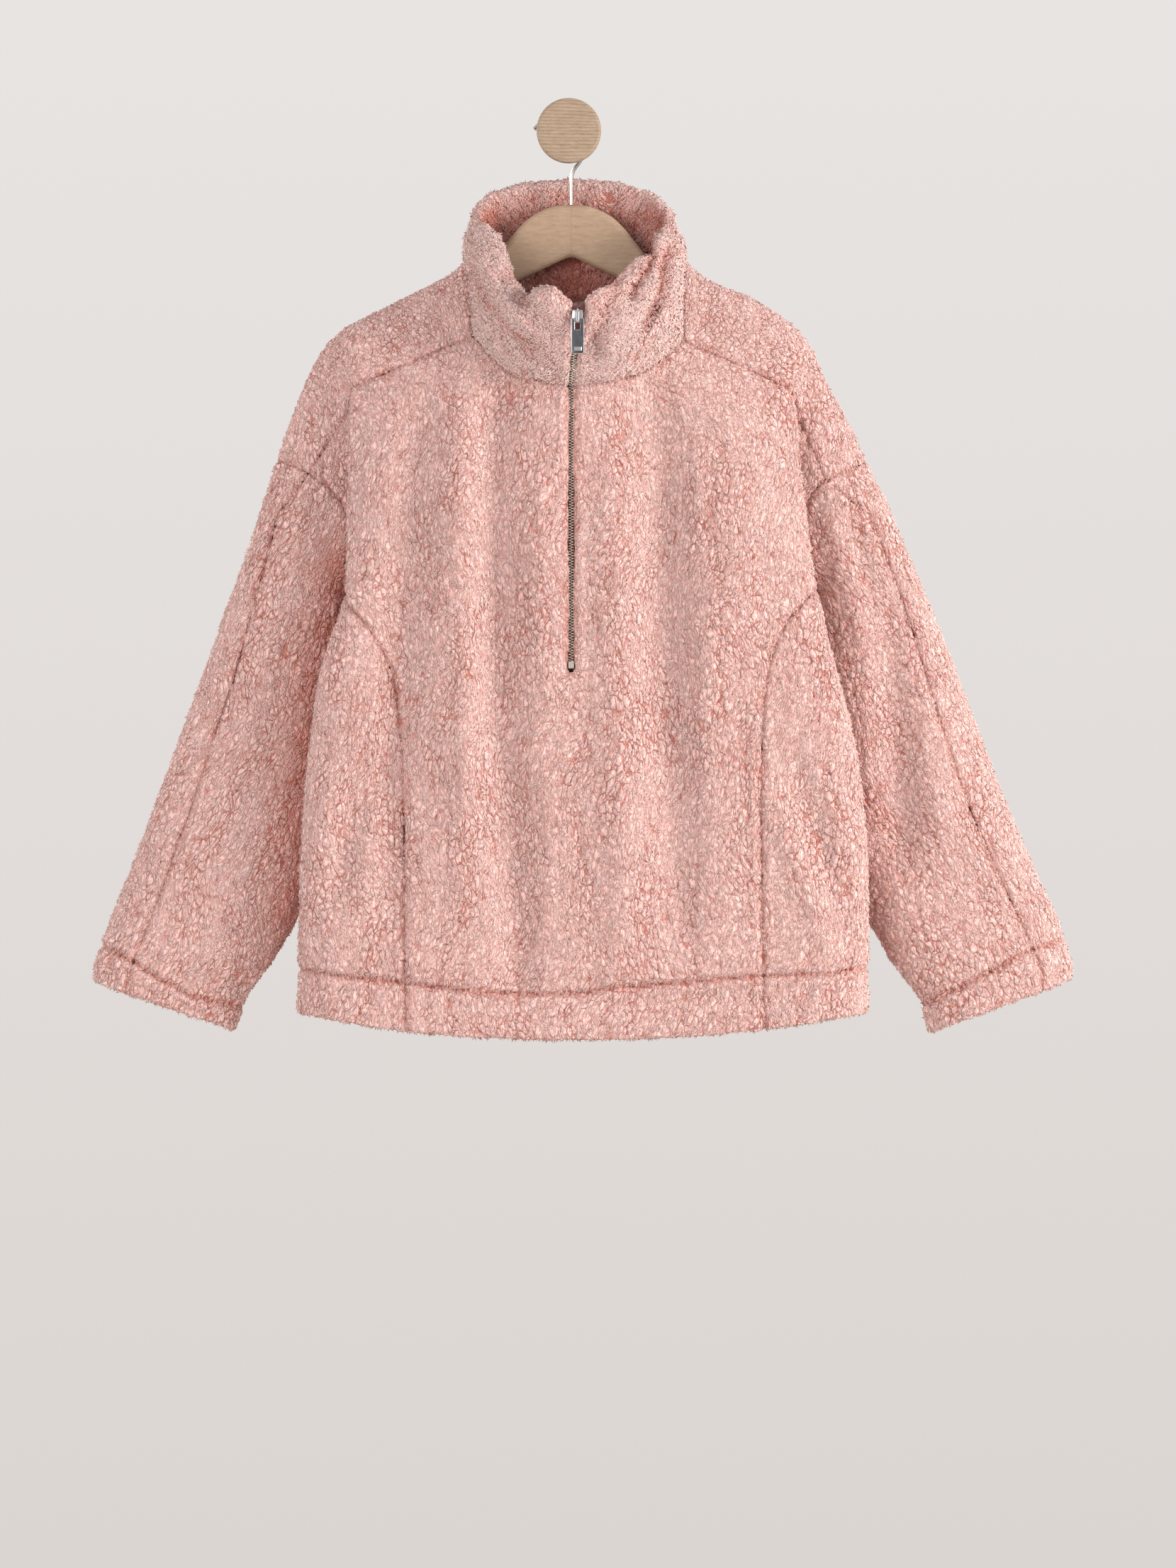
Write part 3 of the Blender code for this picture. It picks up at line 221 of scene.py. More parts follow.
# %% Fleece material
def fleece_material(name, tip, body, gap_shade, shade):
    """Curly polyester pile: matt, pale at the tips, with painted shade of deep rose in the gaps, and a soft
    sheen.
    """
    paint, add, shader, place = new_material(name)
    rest = add("Attribute", attribute_name="rest").outputs["Vector"]
    rounded, on_lock, pit = [add("Attribute", attribute_name=text).outputs["Fac"]
                             for text in ("rounded", "on_lock", "pit")]
    gap, moved, edge = gap_field(add, rest, rounded, 0.11)
    # short wavy strokes between small curls, 1 mm wide and 3 to 8 mm long
    level = add("TexNoise", {"Vector": moved, "Scale": 330.0, "Roughness": 0.45})
    off = add("Math", (level, 0.5), operation="SUBTRACT")
    size = add("Math", (off,), operation="ABSOLUTE")
    stroke = add("MapRange", {"Value": size, "From Max": 0.055, "To Min": 1.0, "To Max": 0.0})
    # real hairs are far finer; at 0.9 mm they show
    strands = add("VectorMath", (place, (1.0, 1.0, 0.4)), operation="MULTIPLY")
    hair = add("TexNoise", {"Vector": strands, "Scale": 1050.0, "Roughness": 0.6})
    blotch = add("TexNoise", {"Vector": place, "Scale": 70.0})
    # how much painted shade a place gets: a little on hairs and strokes, more in the gaps, and each lock
    # covers what is under it
    bare, dark_hair, patchy = [add("Math", row, operation="MULTIPLY_ADD")
                               for row in ((on_lock, -0.75, 1.0), (hair, -0.5, 0.36), (blotch, -0.2, 0.1))]
    open_gap, open_stroke = [add("Math", (opening, bare), operation="MULTIPLY")
                             for opening in (gap, stroke)]
    fine = add("Math", (dark_hair, patchy), operation="ADD")
    drawn = add("Math", (open_stroke, 0.17, fine), operation="MULTIPLY_ADD")
    deep = add("Math", (open_gap, 0.42, drawn), operation="MULTIPLY_ADD")
    painted_shade_level = add("Math", (deep, pit), operation="ADD")
    ramp = set_stops(add("ValToRGB", {"Fac": painted_shade_level}), (0.0, tip), (0.22, body), (0.6, gap_shade), (1.0, shade))
    # the bump also rounds each clump off towards its edge
    cut_in = add("Math", (gap, 0.75, painted_shade_level), operation="MULTIPLY_ADD")
    rim = add("MapRange", {"Value": edge, "From Max": 0.38, "To Min": 0.75, "To Max": 0.0})
    round_in = add("Math", (rim, cut_in), operation="ADD")
    sunk = add("Math", (stroke, 0.5, round_in), operation="MULTIPLY_ADD")
    bump = add("Bump", {"Height": sunk, "Distance": 1.8 * MM}, invert=True)
    set_inputs(shader, {"Base Color": ramp, "Normal": bump, "Roughness": 0.92, "Specular IOR Level": 0.15,
                        "Sheen Weight": 0.3, "Sheen Roughness": 0.5, "Sheen Tint": colour("#F6DCD3")})
    # light that enters a clump leaves it again a few millimetres on, redder
    set_inputs(shader, {"Subsurface Weight": 0.3, "Subsurface Radius": (1.0, 0.42, 0.34),
                        "Subsurface Scale": 3.0 * MM})
    return paint


# the last two colours are painted shade: the rose of the gaps and the deepest shade
fleece = fleece_material("dusty_pink_sherpa_pile", "#EFCFC9", "#E0B4AD", "#C8705F", "#963F32")
print("fleece material:", len(fleece.node_tree.nodes), "nodes")

# %% [markdown]
# The back of the fleece is a plain warp knit: smooth, flat and a little darker, with fine upright ribs.
# The ribs are drawn 1.6 mm apart, coarser than the real ones, so that they show.

# %% Knit material
RIB = 1.6 * MM


def knit_material(name, raised, sunk):
    """Smooth knitted polyester, mauve, with upright ribs."""
    paint, add, shader, place = new_material(name)
    across = add("SeparateXYZ", {"Vector": place}).outputs["X"]
    turns = add("Math", (across, 2 * math.pi / RIB), operation="MULTIPLY")
    rib = add("Math", (turns,), operation="SINE")
    patch = add("TexNoise", {"Vector": place, "Scale": 260.0, "Detail": 3.0})
    fac = add("Math", (rib, 0.18, patch), operation="MULTIPLY_ADD")
    mix = add("Mix", {"Factor": fac, 6: colour(sunk), 7: colour(raised)}, data_type="RGBA")
    bump = add("Bump", {"Height": fac, "Strength": 0.5, "Distance": 0.3 * MM})
    set_inputs(shader, {"Base Color": mix.outputs[2], "Normal": bump, "Roughness": 0.88,
                        "Specular IOR Level": 0.2, "Sheen Weight": 0.15})
    return paint


knit_back = knit_material("smooth_knitted_fleece_back", "#C08A89", "#9C6666")
print("knit ribs", RIB / MM, "mm apart")

# %% [markdown]
# One lock of pile is a slim three-sided cone, 3.4 mm long and bent at its tip. It is modelled once,
# and a geometry nodes tree sets thousands of copies over each panel.

# %% One lock
LOCK_TALL = 3.4 * MM
LOCK_WIDE = 0.95 * MM
LOCK_BEND = 0.7 * MM
ROOT_SHADE, TIP_SHADE = 0.14, -0.02  # painted shade of a lock over its cloth's: darker at the root, a little paler at the tip


def select_in(piece, kind, test):
    """In edit mode, select only the points (kind VERT) or faces (kind FACE) that pass a test."""
    bpy.ops.object.mode_set(mode="EDIT")
    bpy.ops.mesh.select_mode(type=kind)
    bpy.ops.mesh.select_all(action="DESELECT")
    bpy.ops.object.mode_set(mode="OBJECT")
    for item in piece.data.vertices if kind == "VERT" else piece.data.polygons:
        item.select = bool(test(item))
    bpy.ops.object.mode_set(mode="EDIT")


def add_attribute(mesh, name, values):
    """Store one number, or one vector, for each point of a mesh."""
    kind, field = ("FLOAT", "value") if values.ndim == 1 else ("FLOAT_VECTOR", "vector")
    mesh.attributes.new(name, kind, "POINT").data.foreach_set(field, values.astype(np.float32).ravel())


def one_lock(name):
    """A lock of three triangles, root at the origin and tip up, with its shade as an attribute."""
    bpy.ops.object.select_all(action="DESELECT")
    bpy.ops.mesh.primitive_cone_add(vertices=3, radius1=LOCK_WIDE, radius2=0, depth=LOCK_TALL,
                                    end_fill_type="NOTHING", location=(0, 0, LOCK_TALL / 2))
    lock = bpy.context.active_object
    lock.name = name
    bpy.ops.object.transform_apply()
    select_in(lock, "VERT", lambda corner: corner.co.z > LOCK_TALL / 2)
    bpy.ops.transform.translate(value=(-LOCK_BEND, 0, 0))
    bpy.ops.object.mode_set(mode="OBJECT")
    tall = np.array([v.co.z for v in lock.data.vertices]) / LOCK_TALL
    add_attribute(lock.data, "root_shade", ROOT_SHADE * (1 - tall) + TIP_SHADE)
    add_attribute(lock.data, "on_lock", np.ones(len(tall)))
    lock.data.materials.append(fleece)
    bpy.ops.object.shade_smooth()
    return lock


lock = one_lock("one_lock")
print("one lock:", len(lock.data.vertices), "points,", len(lock.data.polygons), "faces")

# %% Pile trees
def new_tree(name):
    """An empty geometry nodes tree, what adds a node to it, and the geometry that comes into it."""
    tree = bpy.data.node_groups.new(name, "GeometryNodeTree")
    for way in ("INPUT", "OUTPUT"):
        tree.interface.new_socket("Geometry", in_out=way, socket_type="NodeSocketGeometry")
    add = partial(node, tree)
    return tree, add, add("NodeGroupInput").outputs["Geometry"]


def read(add, name, kind="FLOAT"):
    """Read one attribute of the mesh."""
    return add("GeometryNodeInputNamedAttribute", {"Name": name}, data_type=kind).outputs["Attribute"]


def relief_tree(name, deep):
    """A tree that presses the gaps of the pile into the fleece side."""
    tree, add, start = new_tree(name)
    gap, _, edge = gap_field(add, read(add, "rest", "FLOAT_VECTOR"), read(add, "rounded"), 0.3)
    dome = add("MapRange", {"Value": edge, "From Max": 0.35, "To Min": 0.7, "To Max": 0.0})
    both = add("Math", (gap, dome), operation="ADD")
    push = add("Math", (both, read(add, "fleece_side")), operation="MULTIPLY")
    down = add("Math", (push, -deep), operation="MULTIPLY")
    normal = add("GeometryNodeInputNormal")
    move = add("VectorMath", {0: normal, "Scale": down}, operation="SCALE")
    moved = add("GeometryNodeSetPosition", {"Geometry": start, "Offset": move})
    add("NodeGroupOutput", {"Geometry": moved})
    return tree


def lock_tree(name, thick, spread, comb, lift, small, large):
    """A tree that sets copies of the lock on a panel: thick of them on a square metre, lifted off the cloth,
    combed down, spread their own way, and of a size from small to large."""
    tree, add, start = new_tree(name)
    dots = add("GeometryNodeDistributePointsOnFaces", {"Mesh": start, "Density": thick, "Seed": 7})
    side = read(add, "fleece_side")
    inside = add("FunctionNodeCompare", {"A": side, "B": 0.5}, operation="LESS_THAN")
    # locks stand on the clumps and leave the gaps open
    gap, _, _ = gap_field(add, read(add, "rest", "FLOAT_VECTOR"), read(add, "rounded"), 0.2)
    in_gap = add("FunctionNodeCompare", {"A": gap, "B": 0.45}, operation="GREATER_THAN")
    unwanted = add("FunctionNodeBooleanMath", (inside, in_gap), operation="OR")
    kept = add("GeometryNodeDeleteGeometry", {"Geometry": dots, "Selection": unwanted})
    roots = add("GeometryNodeStoreNamedAttribute",
                {"Geometry": kept, "Name": "skin_normal", "Value": dots.outputs["Normal"]},
                data_type="FLOAT_VECTOR")
    # each lock leans the way its cloth is combed, a little outwards, and somewhat its own way
    skin = read(add, "skin_normal", "FLOAT_VECTOR")
    up = add("VectorMath", {0: skin, "Scale": lift}, operation="SCALE")
    out = add("VectorMath", (read(add, "combed", "FLOAT_VECTOR"), up), operation="ADD")
    own = add("FunctionNodeRandomValue",
              {"Min": (-spread, -spread, -spread - comb), "Max": (spread, spread, spread - comb), "Seed": 3},
              data_type="FLOAT_VECTOR")
    lean = add("VectorMath", (out, own), operation="ADD")
    stand = add("FunctionNodeAlignRotationToVector", {"Vector": lean}, axis="Z")
    face = add("FunctionNodeAlignRotationToVector", {"Rotation": stand, "Vector": skin},
               axis="X", pivot_axis="Z")
    # inputs 2 and 3 and output 1 are the plain numbers of this node
    size = add("FunctionNodeRandomValue", {2: small, 3: large, "Seed": 11})
    shape = add("GeometryNodeObjectInfo", {"Object": lock}).outputs["Geometry"]
    copies = add("GeometryNodeInstanceOnPoints",
                 {"Points": roots, "Instance": shape, "Rotation": face, "Scale": size.outputs[1]})
    real = add("GeometryNodeRealizeInstances", {"Geometry": copies})
    shaded = add("Math", (read(add, "root_shade"), read(add, "pit")), operation="ADD")
    pitted = add("GeometryNodeStoreNamedAttribute", {"Geometry": real, "Name": "pit", "Value": shaded})
    # a lock takes the light as the cloth under it does, so it melts into the pile
    leaf = add("VectorMath", {0: add("GeometryNodeInputNormal"), "Scale": 0.28}, operation="SCALE")
    blended = add("VectorMath", (skin, leaf), operation="ADD")
    soft = add("GeometryNodeSetMeshNormal", {"Mesh": pitted, "Custom Normal": blended},
               mode="FREE", domain="POINT")
    add("NodeGroupOutput", {"Geometry": soft})
    return tree


LOCKS = 140000.0
GAP_DEEP = 1.2 * MM
pile_relief = relief_tree("pile_relief", GAP_DEEP)
pile_locks = lock_tree("pile_locks", LOCKS, spread=0.5, comb=0.45, lift=0.22, small=0.55, large=1.0)
collar_locks = lock_tree("collar_locks", 1.8 * LOCKS, spread=0.6, comb=0.28, lift=0.27, small=0.7, large=1.15)
print("pile trees:", [tree.name for tree in (pile_relief, pile_locks, collar_locks)])

# %% [markdown]
# ## Panels
# Each panel is copied from its solid and cut into an even fine mesh.
# Only its fleece side stays fine: the knitted back is smooth, so it needs few faces.

# %% Panel tools
def points_of(mesh, what="co"):
    """All points of a mesh as an array, or their normals."""
    flat = np.empty(len(mesh.vertices) * 3, dtype=np.float32)
    mesh.vertices.foreach_get(what, flat)
    return flat.reshape(-1, 3).astype(np.float64)


def set_points(mesh, points):
    """Put an array of points back on a mesh."""
    mesh.vertices.foreach_set("co", points.astype(np.float32).ravel())
    mesh.update()


def take(piece):
    """Select one object alone and make it active."""
    bpy.ops.object.select_all(action="DESELECT")
    piece.select_set(True)
    bpy.context.view_layer.objects.active = piece


def apply_modifier(piece, kind, **settings):
    """Add one modifier, set it and apply it."""
    take(piece)
    modifier = piece.modifiers.new(kind.lower(), kind)
    for name, value in settings.items():
        setattr(modifier, name, value)
    bpy.ops.object.modifier_apply(modifier=modifier.name)


def merged_copy(node_name, name, within, flatten=False):
    """Copy a solid and merge its points to one skin. flatten also clears the edges on its flat faces."""
    piece = add_object(name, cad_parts[node_name].data.copy())
    take(piece)
    bpy.ops.object.mode_set(mode="EDIT")
    bpy.ops.mesh.select_all(action="SELECT")
    bpy.ops.mesh.remove_doubles(threshold=within)
    if flatten:
        bpy.ops.mesh.dissolve_limited(angle_limit=math.radians(3))
    bpy.ops.object.mode_set(mode="OBJECT")
    return piece


def set_paint(piece, *paints):
    """Give a piece its finishes, in the order of its faces' numbers."""
    piece.data.materials.clear()
    for paint in paints:
        piece.data.materials.append(paint)


def tree_of(mesh):
    """A search tree over a mesh's faces."""
    return BVHTree.FromPolygons([v.co[:] for v in mesh.vertices], [f.vertices[:] for f in mesh.polygons])


# %% Knitted side
IN_BODY = Vector((0, -0.055, -0.65))
PAST_WALL = 5.5 * MM
RIM_TURN = {"front": 52, "back": 52, "side": 38}  # degrees: the rim turns more than any bend within a side


def knit_faces(mesh, outer_way):
    """Find the faces of a panel's inner, knitted side: the skin opposite the one that faces out."""
    centres = np.array([f.center for f in mesh.polygons])
    facing = np.array([f.normal for f in mesh.polygons])
    if outer_way == "side":
        # looking out from the middle of the body, the first face met is the knitted one
        ahead = Vector((np.sign(centres[:, 0].mean()), 0, 0))
        seed = tree_of(mesh).ray_cast(IN_BODY, ahead)[2]
    else:
        first = int(np.argmax(-centres[:, 1] if outer_way == "front" else centres[:, 1]))
        behind = centres - (centres[first] - facing[first] * PAST_WALL)
        opposite = np.where(facing @ facing[first] < -0.7, np.linalg.norm(behind, axis=1), 9.0)
        seed = int(np.argmin(opposite))
    cos_rim = math.cos(math.radians(RIM_TURN[outer_way]))
    beside = {}
    for face in mesh.polygons:
        for edge in face.edge_keys:
            beside.setdefault(edge, []).append(face.index)
    joined = [[] for _ in mesh.polygons]
    for pair in beside.values():
        if len(pair) == 2 and facing[pair[0]] @ facing[pair[1]] > cos_rim:
            joined[pair[0]].append(pair[1])
            joined[pair[1]].append(pair[0])
    reached, front_line = {seed}, [seed]
    while front_line:
        for other in joined[front_line.pop()]:
            if other not in reached:
                reached.add(other)
                front_line.append(other)
    return reached


# %% [markdown]
# Real cloth hangs in soft folds. Each fold here is a line of places with a half width and a height,
# and the whole wall of the panel moves with it, so the panel stays one thin shell.
# The hem and the cuffs are turned up and stitched along a line, which pulls the cloth in.

# %% Folds and stitches
FRONT_FOLDS = [  # points (x, z) in mm, half width in mm, height in mm; a trough's height is negative
    ([(-71, -262), (-64.5, -396), (-57, -566), (-50, -700), (-46, -760)], 19, -11.5),
    ([(-99, -244), (-96, -459), (-93, -680)], 21, 6.5),
    ([(-23, -262), (-21.5, -408), (-20, -522)], 15, 3),
    ([(-132, -262), (-139, -333), (-150, -434), (-158, -560), (-160, -700)], 17, -8),
    ([(75, -235), (84, -396), (92, -554), (98, -720)], 22, -11.5),
    ([(150, -250), (152, -396), (140, -490)], 26, 5),
    ([(40, -244), (43, -459), (49, -700)], 20, 4.5),
    ([(185, -598), (210, -667), (232, -730)], 13, 4.5),
    ([(201, -560), (226, -636), (245, -705)], 13, -4),
    ([(-178, -573), (-188, -604), (-216, -699)], 17, -6),
    ([(286, -450), (296, -553), (301, -660)], 18, -8),
    ([(330, -553), (340, -649)], 19, 3),
    ([(238, -343), (257, -413), (276, -489)], 11, 2.5),
    ([(250, -343), (273, -413)], 9, -2.5),
    ([(-292, -553), (-301, -649)], 21, -2.5),
]
BACK_SHARE = 0.5  # the back has the front's main folds, mirrored and shallower
BACK_FOLDS = [([(-x, z) for x, z in line], wide, tall * BACK_SHARE) for line, wide, tall in FRONT_FOLDS[:11]]
FADE = 0.25  # a fold fades in and out over this share of its length, at each end
HEM_LINE = [(-262, -750), (-243, -754.7), (-204, -762), (-152, -767), (-92.5, -774.7), (-42, -778),
            (10, -777.5), (29, -773.5), (117, -766.5), (171, -761.5), (234, -760), (271, -753.4), (290, -750)]
CUFF_LINES = [
    [(-442, -726), (-419, -735.5), (-392, -749.6), (-368, -765.6), (-339, -780.3), (-300, -788.6),
     (-270, -795)],
    [(290, -796), (319, -788), (353.5, -771.3), (387, -754.7), (409, -742), (437, -732.3), (462, -725)]]


def away_from_line(points, line):
    """How far each point lies from a line of (x, z) places, seen from the front."""
    flat = points[:, [0, 2]]
    best = np.full(len(points), 9.0)
    for a, b in zip(line[:-1], line[1:]):
        a, b = np.array(a) * MM, np.array(b) * MM
        along = np.clip(((flat - a) @ (b - a)) / ((b - a) @ (b - a)), 0, 1)
        best = np.minimum(best, np.linalg.norm(flat - a - along[:, None] * (b - a), axis=1))
    return best


def bell(away, wide):
    """1 on the spot, and less and less over a few widths away from it."""
    return np.exp(-(away / wide) ** 2)


def ridge(points, line, wide, tall):
    """The height of a soft ridge, or of a trough, along a line."""
    return tall * MM * bell(away_from_line(points, line), wide * MM)


def fold_cloth(points, facing_front):
    """How far the folds of their side move points along y."""
    shift = np.zeros(len(points))
    for folds, side in ((FRONT_FOLDS, facing_front), (BACK_FOLDS, ~facing_front)):
        for line, wide, tall in folds:
            top, foot = max(z for _, z in line) * MM, min(z for _, z in line) * MM
            run = (top - foot) * FADE
            above = np.clip((top + run - points[:, 2]) / (2 * run), 0, 1)
            below = np.clip((points[:, 2] - foot + run) / (2 * run), 0, 1)
            shift += np.where(side, ridge(points, line, wide, tall) * (above * below), 0)
    return shift


# %% [markdown]
# The collar is doubled: the fleece turns over at the rim, so the rim is a fat roll. The roll leans into the
# neck, soft creases run down and inwards from it, and its pile is brushed longer than the body's.

# %% Collar
COLLAR_CREASES = [  # points (x, z) in mm, half width in mm, height in mm
    ([(-49, -50), (-64, -82), (-63, -108), (-58, -128), (-38, -148)], 4.5, -9.0),
    ([(63, -60), (77, -98), (73, -122), (58, -150)], 4.5, -8.0),
    ([(-82, -112), (-62, -148), (-40, -176), (-20, -194)], 9.0, 5.5),
    ([(-91, -126), (-75, -154), (-53, -179), (-31, -200)], 5.5, -4.5),
    ([(-46, -140), (-26, -152), (-10, -172)], 9.0, 4.0),
    ([(72, -142), (58, -172), (34, -196)], 9.0, 5.0),
    ([(89, -108), (85, -148), (70, -176)], 5.5, -7.0),
    ([(46, -128), (36, -160), (24, -190)], 7.0, -4.0),
]
NECK_X, NECK_Y = 0.002, -0.062
RIM_STEPS = 72
ROLL_TALL = 0.045
ROLL_FAT = (17.0, 9.0)  # mm at the left and at the right of the zip
ROLL_CREST = 2.5
DEEPEST_CREASE = 8.5 * MM
SAG_X, SAG_WIDE, SAG_DEEP = -0.046, 0.02, 14


def shape_collar(points, normals):
    """Fatten the rolled rim into the neck and press the soft creases of the collar. Gives the push along
    the normals, the sag, and how creased and how far inside the neck each point is."""
    inward = np.array([NECK_X, NECK_Y, 0]) - points
    inward[:, 2] = 0
    inward /= np.maximum(np.linalg.norm(inward, axis=1), 1e-6)[:, None]
    facing_in = np.clip(np.einsum("ij,ij->i", inward, normals), 0, 1)
    # the height of the rim in each direction round the neck
    turn = (np.arctan2(points[:, 0] - NECK_X, NECK_Y - points[:, 1]) / (2 * np.pi) * RIM_STEPS).astype(int)
    half = RIM_STEPS // 2
    top = np.array([points[turn == t, 2].max() if (turn == t).any() else -0.05
                    for t in range(-half, half + 1)])[turn + half]
    from_top = np.clip((top - points[:, 2]) / ROLL_TALL, 0, 1)
    near_front = np.clip((-0.042 - points[:, 1]) / 0.015, 0, 1)
    sideways = np.clip((np.abs(points[:, 0] - NECK_X) - 0.01) / 0.03, 0, 1)
    fat = facing_in * (1 - from_top ** 2) * near_front * sideways * np.where(points[:, 0] < 0, *ROLL_FAT) * MM
    crest = np.clip(normals[:, 2], 0, 1) * ROLL_CREST * MM
    crease = sum(ridge(points, *fold) for fold in COLLAR_CREASES) * (points[:, 1] < -0.055)
    crease = np.maximum(crease, -DEEPEST_CREASE)
    # the left edge beside the zip sags a little under the weight of the pile
    sag = bell(points[:, 0] - SAG_X, SAG_WIDE) * (1 - from_top) * near_front * SAG_DEEP * MM
    # deep inside the neck the pile gets painted shade
    inside = facing_in * np.clip((-0.046 - points[:, 2]) / 0.03, 0, 1) * (points[:, 1] > -0.05)
    return fat + crest + crease, sag, np.clip(-crease / (9 * MM), 0, 1), inside


# %% [markdown]
# Pile is brushed, then hangs with its cloth: straight down on the body, along the arm on a sleeve, and away
# from the zip, whose tape pushes it to both sides. High on the shoulders it stands in rounder clumps.

# %% Comb of the pile
SLEEVE_TILT, SLEEVE_LEAN = 21, 0.25  # degrees from upright, and how far its locks lean outwards
# where the zip is, how wide a strip beside it is pushed, and how far the locks there lean
ZIP_X, ZIP_WIDE, ZIP_LEAN = 0.003, 0.016, 1.1
COLLAR_ZIP_X, COLLAR_WIDE, COLLAR_LEAN = 0.008, 0.05, 0.9
ZIP_FOOT = -0.50
SHOULDER_ROUND, ZIP_ROUND, COLLAR_ROUND = 0.55, 0.5, 0.25


def comb_of(panel, points):
    """For each point: its place turned so that Z runs with the pile, its locks' lean, and its roundness."""
    rest = points.copy()
    # the hang wanders a little from side to side down the cloth
    rest[:, 0] += 0.006 * np.sin(28 * points[:, 2] + 1.3 * np.sin(17 * points[:, 0])) + \
        0.0025 * np.sin(61 * points[:, 2] + 23 * points[:, 0])
    way = np.zeros_like(points)
    rounded = np.clip((points[:, 2] + 0.30) / 0.10, 0, 1) * SHOULDER_ROUND
    if panel.startswith("sleeve"):
        tilt = math.radians(SLEEVE_TILT if "left" in panel else -SLEEVE_TILT)
        across = rest[:, 0].copy()
        rest[:, 0] = across * math.cos(tilt) - points[:, 2] * math.sin(tilt)
        rest[:, 2] = across * math.sin(tilt) + points[:, 2] * math.cos(tilt)
        way[:, 0] = -SLEEVE_LEAN if "left" in panel else SLEEVE_LEAN
    if panel == "front":
        across = points[:, 0] - ZIP_X
        near = bell(across, ZIP_WIDE) * (points[:, 2] > ZIP_FOOT)
        way[:, 0] = np.sign(across) * near * ZIP_LEAN
        rounded = np.maximum(rounded, near * ZIP_ROUND)
    if panel == "collar":
        rounded[:] = COLLAR_ROUND
        across = points[:, 0] - COLLAR_ZIP_X
        near = bell(across, COLLAR_WIDE) * (points[:, 1] < -0.06)
        way[:, 0] = np.sign(across) * near * COLLAR_LEAN
        rest[:, 0] = points[:, 0] - 0.6 * (points[:, 2] + 0.15) * np.clip(across / 0.03, -1, 1)
    return rest, way, rounded


# %% [markdown]
# Seams are narrow: the stitch pulls the cloth in by a millimetre or two and the pile puffs up beside it.
# A rim that faces its neighbour grows until the two meet, so that no light passes through the seam.

# %% Seams
PANELS = ["front", "back", "side_left", "side_right", "sleeve_front_left", "sleeve_front_right",
          "sleeve_back_left", "sleeve_back_right", "collar"]
solid_trees = {panel: tree_of(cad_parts[panel].data) for panel in PANELS + ["zip_chain"]}
FAR_OFF = 1.0
GROW = 0.5 * MM
GROOVE_WIDE, GROOVE_DEEP = 2.6 * MM, 0.8 * MM
STITCH_WIDE, STITCH_DEEP = 1.9 * MM, 2.4 * MM
PUFF_AWAY, PUFF_WIDE, PUFF_HIGH = 6.5 * MM, 3.2 * MM, 0.9 * MM
MEET, MEET_WITHIN = 1.9 * MM, 4.0 * MM


def seams_of(panel, points, normals):
    """How far each point is from the nearest other piece, and how squarely it faces it."""
    seam, toward = np.full(len(points), FAR_OFF), np.zeros(len(points))
    for other in [name for name in solid_trees if name != panel]:
        hits = [solid_trees[other].find_nearest(p, 0.012) for p in points]
        far = np.array([FAR_OFF if hit[3] is None else hit[3] for hit in hits])
        spot = np.array([(0, 0, 0) if hit[3] is None else hit[0] for hit in hits])
        faces_it = np.clip(np.einsum("ij,ij->i", spot - points, normals) / np.maximum(far, 1e-6), 0, 1)
        closer = far < seam
        seam[closer], toward[closer] = far[closer], faces_it[closer]
    return seam, toward


def stitches_of(panel, points):
    """How far each point is from the stitches of the hem or of a cuff."""
    if panel == "collar":
        return np.full(len(points), FAR_OFF)
    lines = CUFF_LINES if panel.startswith("sleeve") else [HEM_LINE]
    return np.min([away_from_line(points, line) for line in lines], axis=0)


def near_body(panel, points):
    """1 where a sleeve lies against the side panel below its armhole, and 0 well away from it."""
    side = solid_trees["side_left" if panel.endswith("left") else "side_right"]
    hits = [side.find_nearest(p, 0.1)[3] for p in points]
    away = np.array([0.1 if far is None else far for far in hits])
    return bell(away, 30 * MM)


# %% Shape of a panel
# painted shade that the shader adds to each, from 0 on open pile to 1 in the deepest shade; the collar's
# offset below 0 makes its pile paler
SEAM_SHADE, TUCK_SHADE = 0.18, 0.26
COLLAR_LOW, COLLAR_SEAM_SHADE, CREASE_SHADE, INSIDE_SHADE = -0.06, 0.08, 0.34, 0.42
BESIDE_BODY_SHADE = {"left": 0.3, "right": 0.12}


